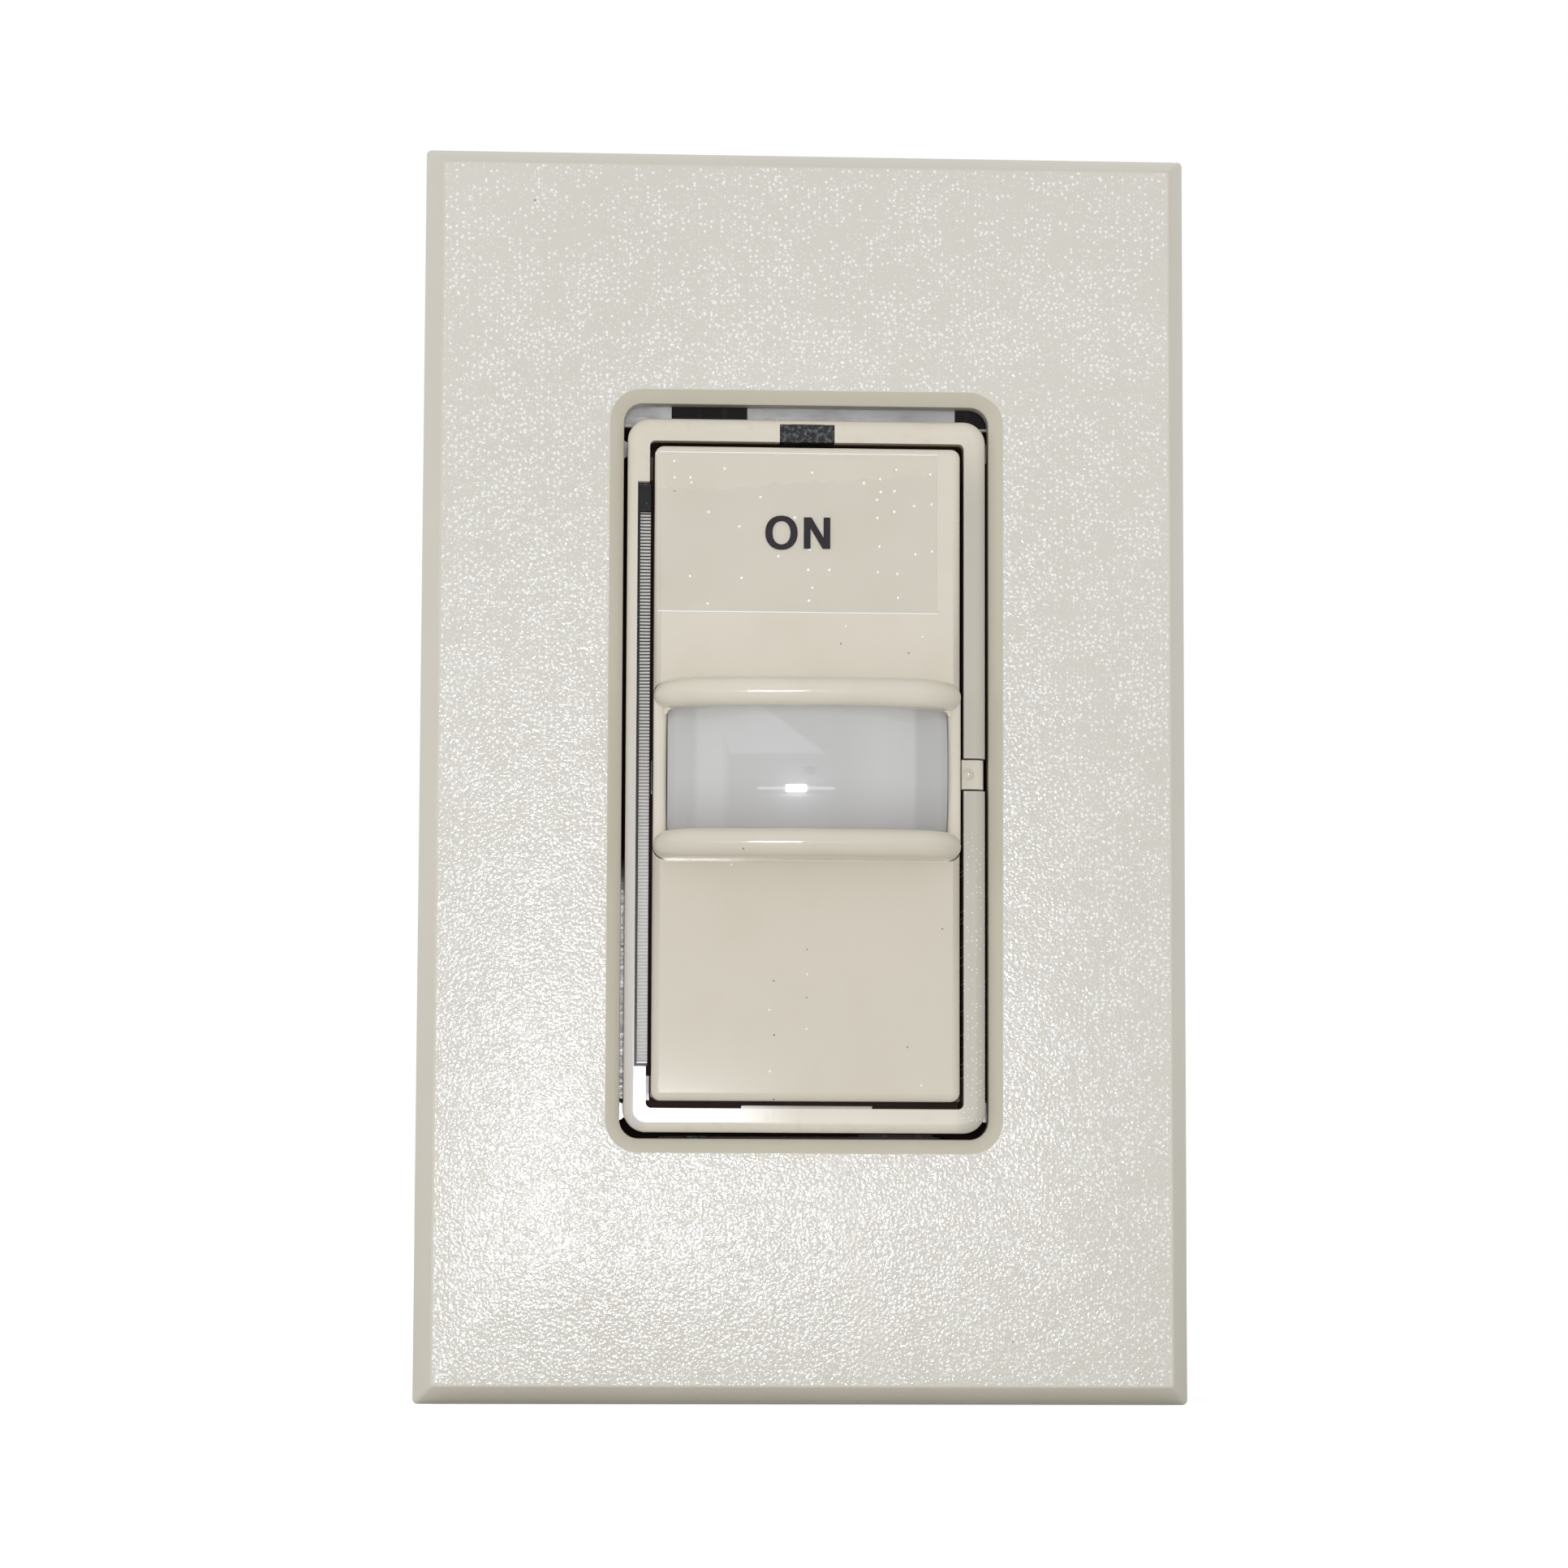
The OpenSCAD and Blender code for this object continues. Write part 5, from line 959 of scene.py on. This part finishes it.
notch_w, notch_d, notch_h = 8 * mm, 1.2 * mm, side_t + 0.5 * mm
cut(plate, (-notch_w / 2, -notch_d, plate_low.z - mm), (notch_w / 2, mm, plate_low.z + notch_h))

# The face: rounded glossy hills of about a third of a millimetre, as the mould was etched, pearly flakes in
# clusters, painted white as glints and fewer towards the top where fewer glints show, and a dull rubbed
# streak that leans down from the opening
plate_finish = Moulded("plate_finish", tone(221, 218, 207), 0.11, shade=0.05, gloss_spread=0.05, cloud=40.0,
                       grain=2500.0, depth=0.058)
hills = plate_finish.noise(3400.0, 1.2, Roughness=0.45, Distortion=0.25)
plate_finish.wire(hills, plate_finish.bump.inputs["Height"])
streak = plate_finish.along((1, 0, 0.197))
streak_left, streak_right = [
    plate_finish.spread(streak, start * mm, end * mm, interpolation_type="SMOOTHSTEP")
    for start, end in ((-6.8, -3.9), (-1.0, -3.9))]
rubbed = plate_finish.product(streak_left, streak_right, within(plate_finish, ("Z", -31, -34)))
cluster = plate_finish.spread(plate_finish.noise(380.0, 2.0), 0.3, 0.7, 0.1, 1.0)
lower = plate_finish.spread(place_on(plate_finish, "Z"), 57 * mm, 32 * mm, 0.55, 1.1)
glint_share = plate_finish.product(cluster, lower)
glint = plate_finish.spread(rubbed, 0.0, 1.0, 1.0, 0.4)
# The pearl flakes are painted as glints: white specks, thinned towards the top
flake_glints = [(plate_finish.product(specks(plate_finish, spacing, glint_share, 0.31), strength, glint),
           tone(255, 255, 253)) for spacing, strength in ((1900.0, 0.85), (3000.0, 0.5))]
plate_finish.cover(*flake_glints, (specks(plate_finish, 160.0, 0.02, 0.02), tone(150, 142, 128)))
plate_finish.feed(Roughness=plate_finish.maths("MULTIPLY_ADD", rubbed, 0.13, plate_finish.gloss))
smooth = {"shade": 0.05, "gloss_spread": 0.08, "cloud": 60.0, "grain": 3000.0, "depth": 0.002}
edge_finish = Moulded("plate_edge_finish", tone(220, 215, 200), 0.22, **smooth)
# The chamfer's finish is smooth, and darker and yellower than the plate's as painted shade
shaded_chamfer_finish = Moulded("plate_lip_finish", tone(208, 202, 184), 0.24, **smooth)
for finish in (plate_finish, edge_finish, shaded_chamfer_finish):
    plate.data.materials.append(finish.material)
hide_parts("wall_plate")
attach(plate, "switch_body")
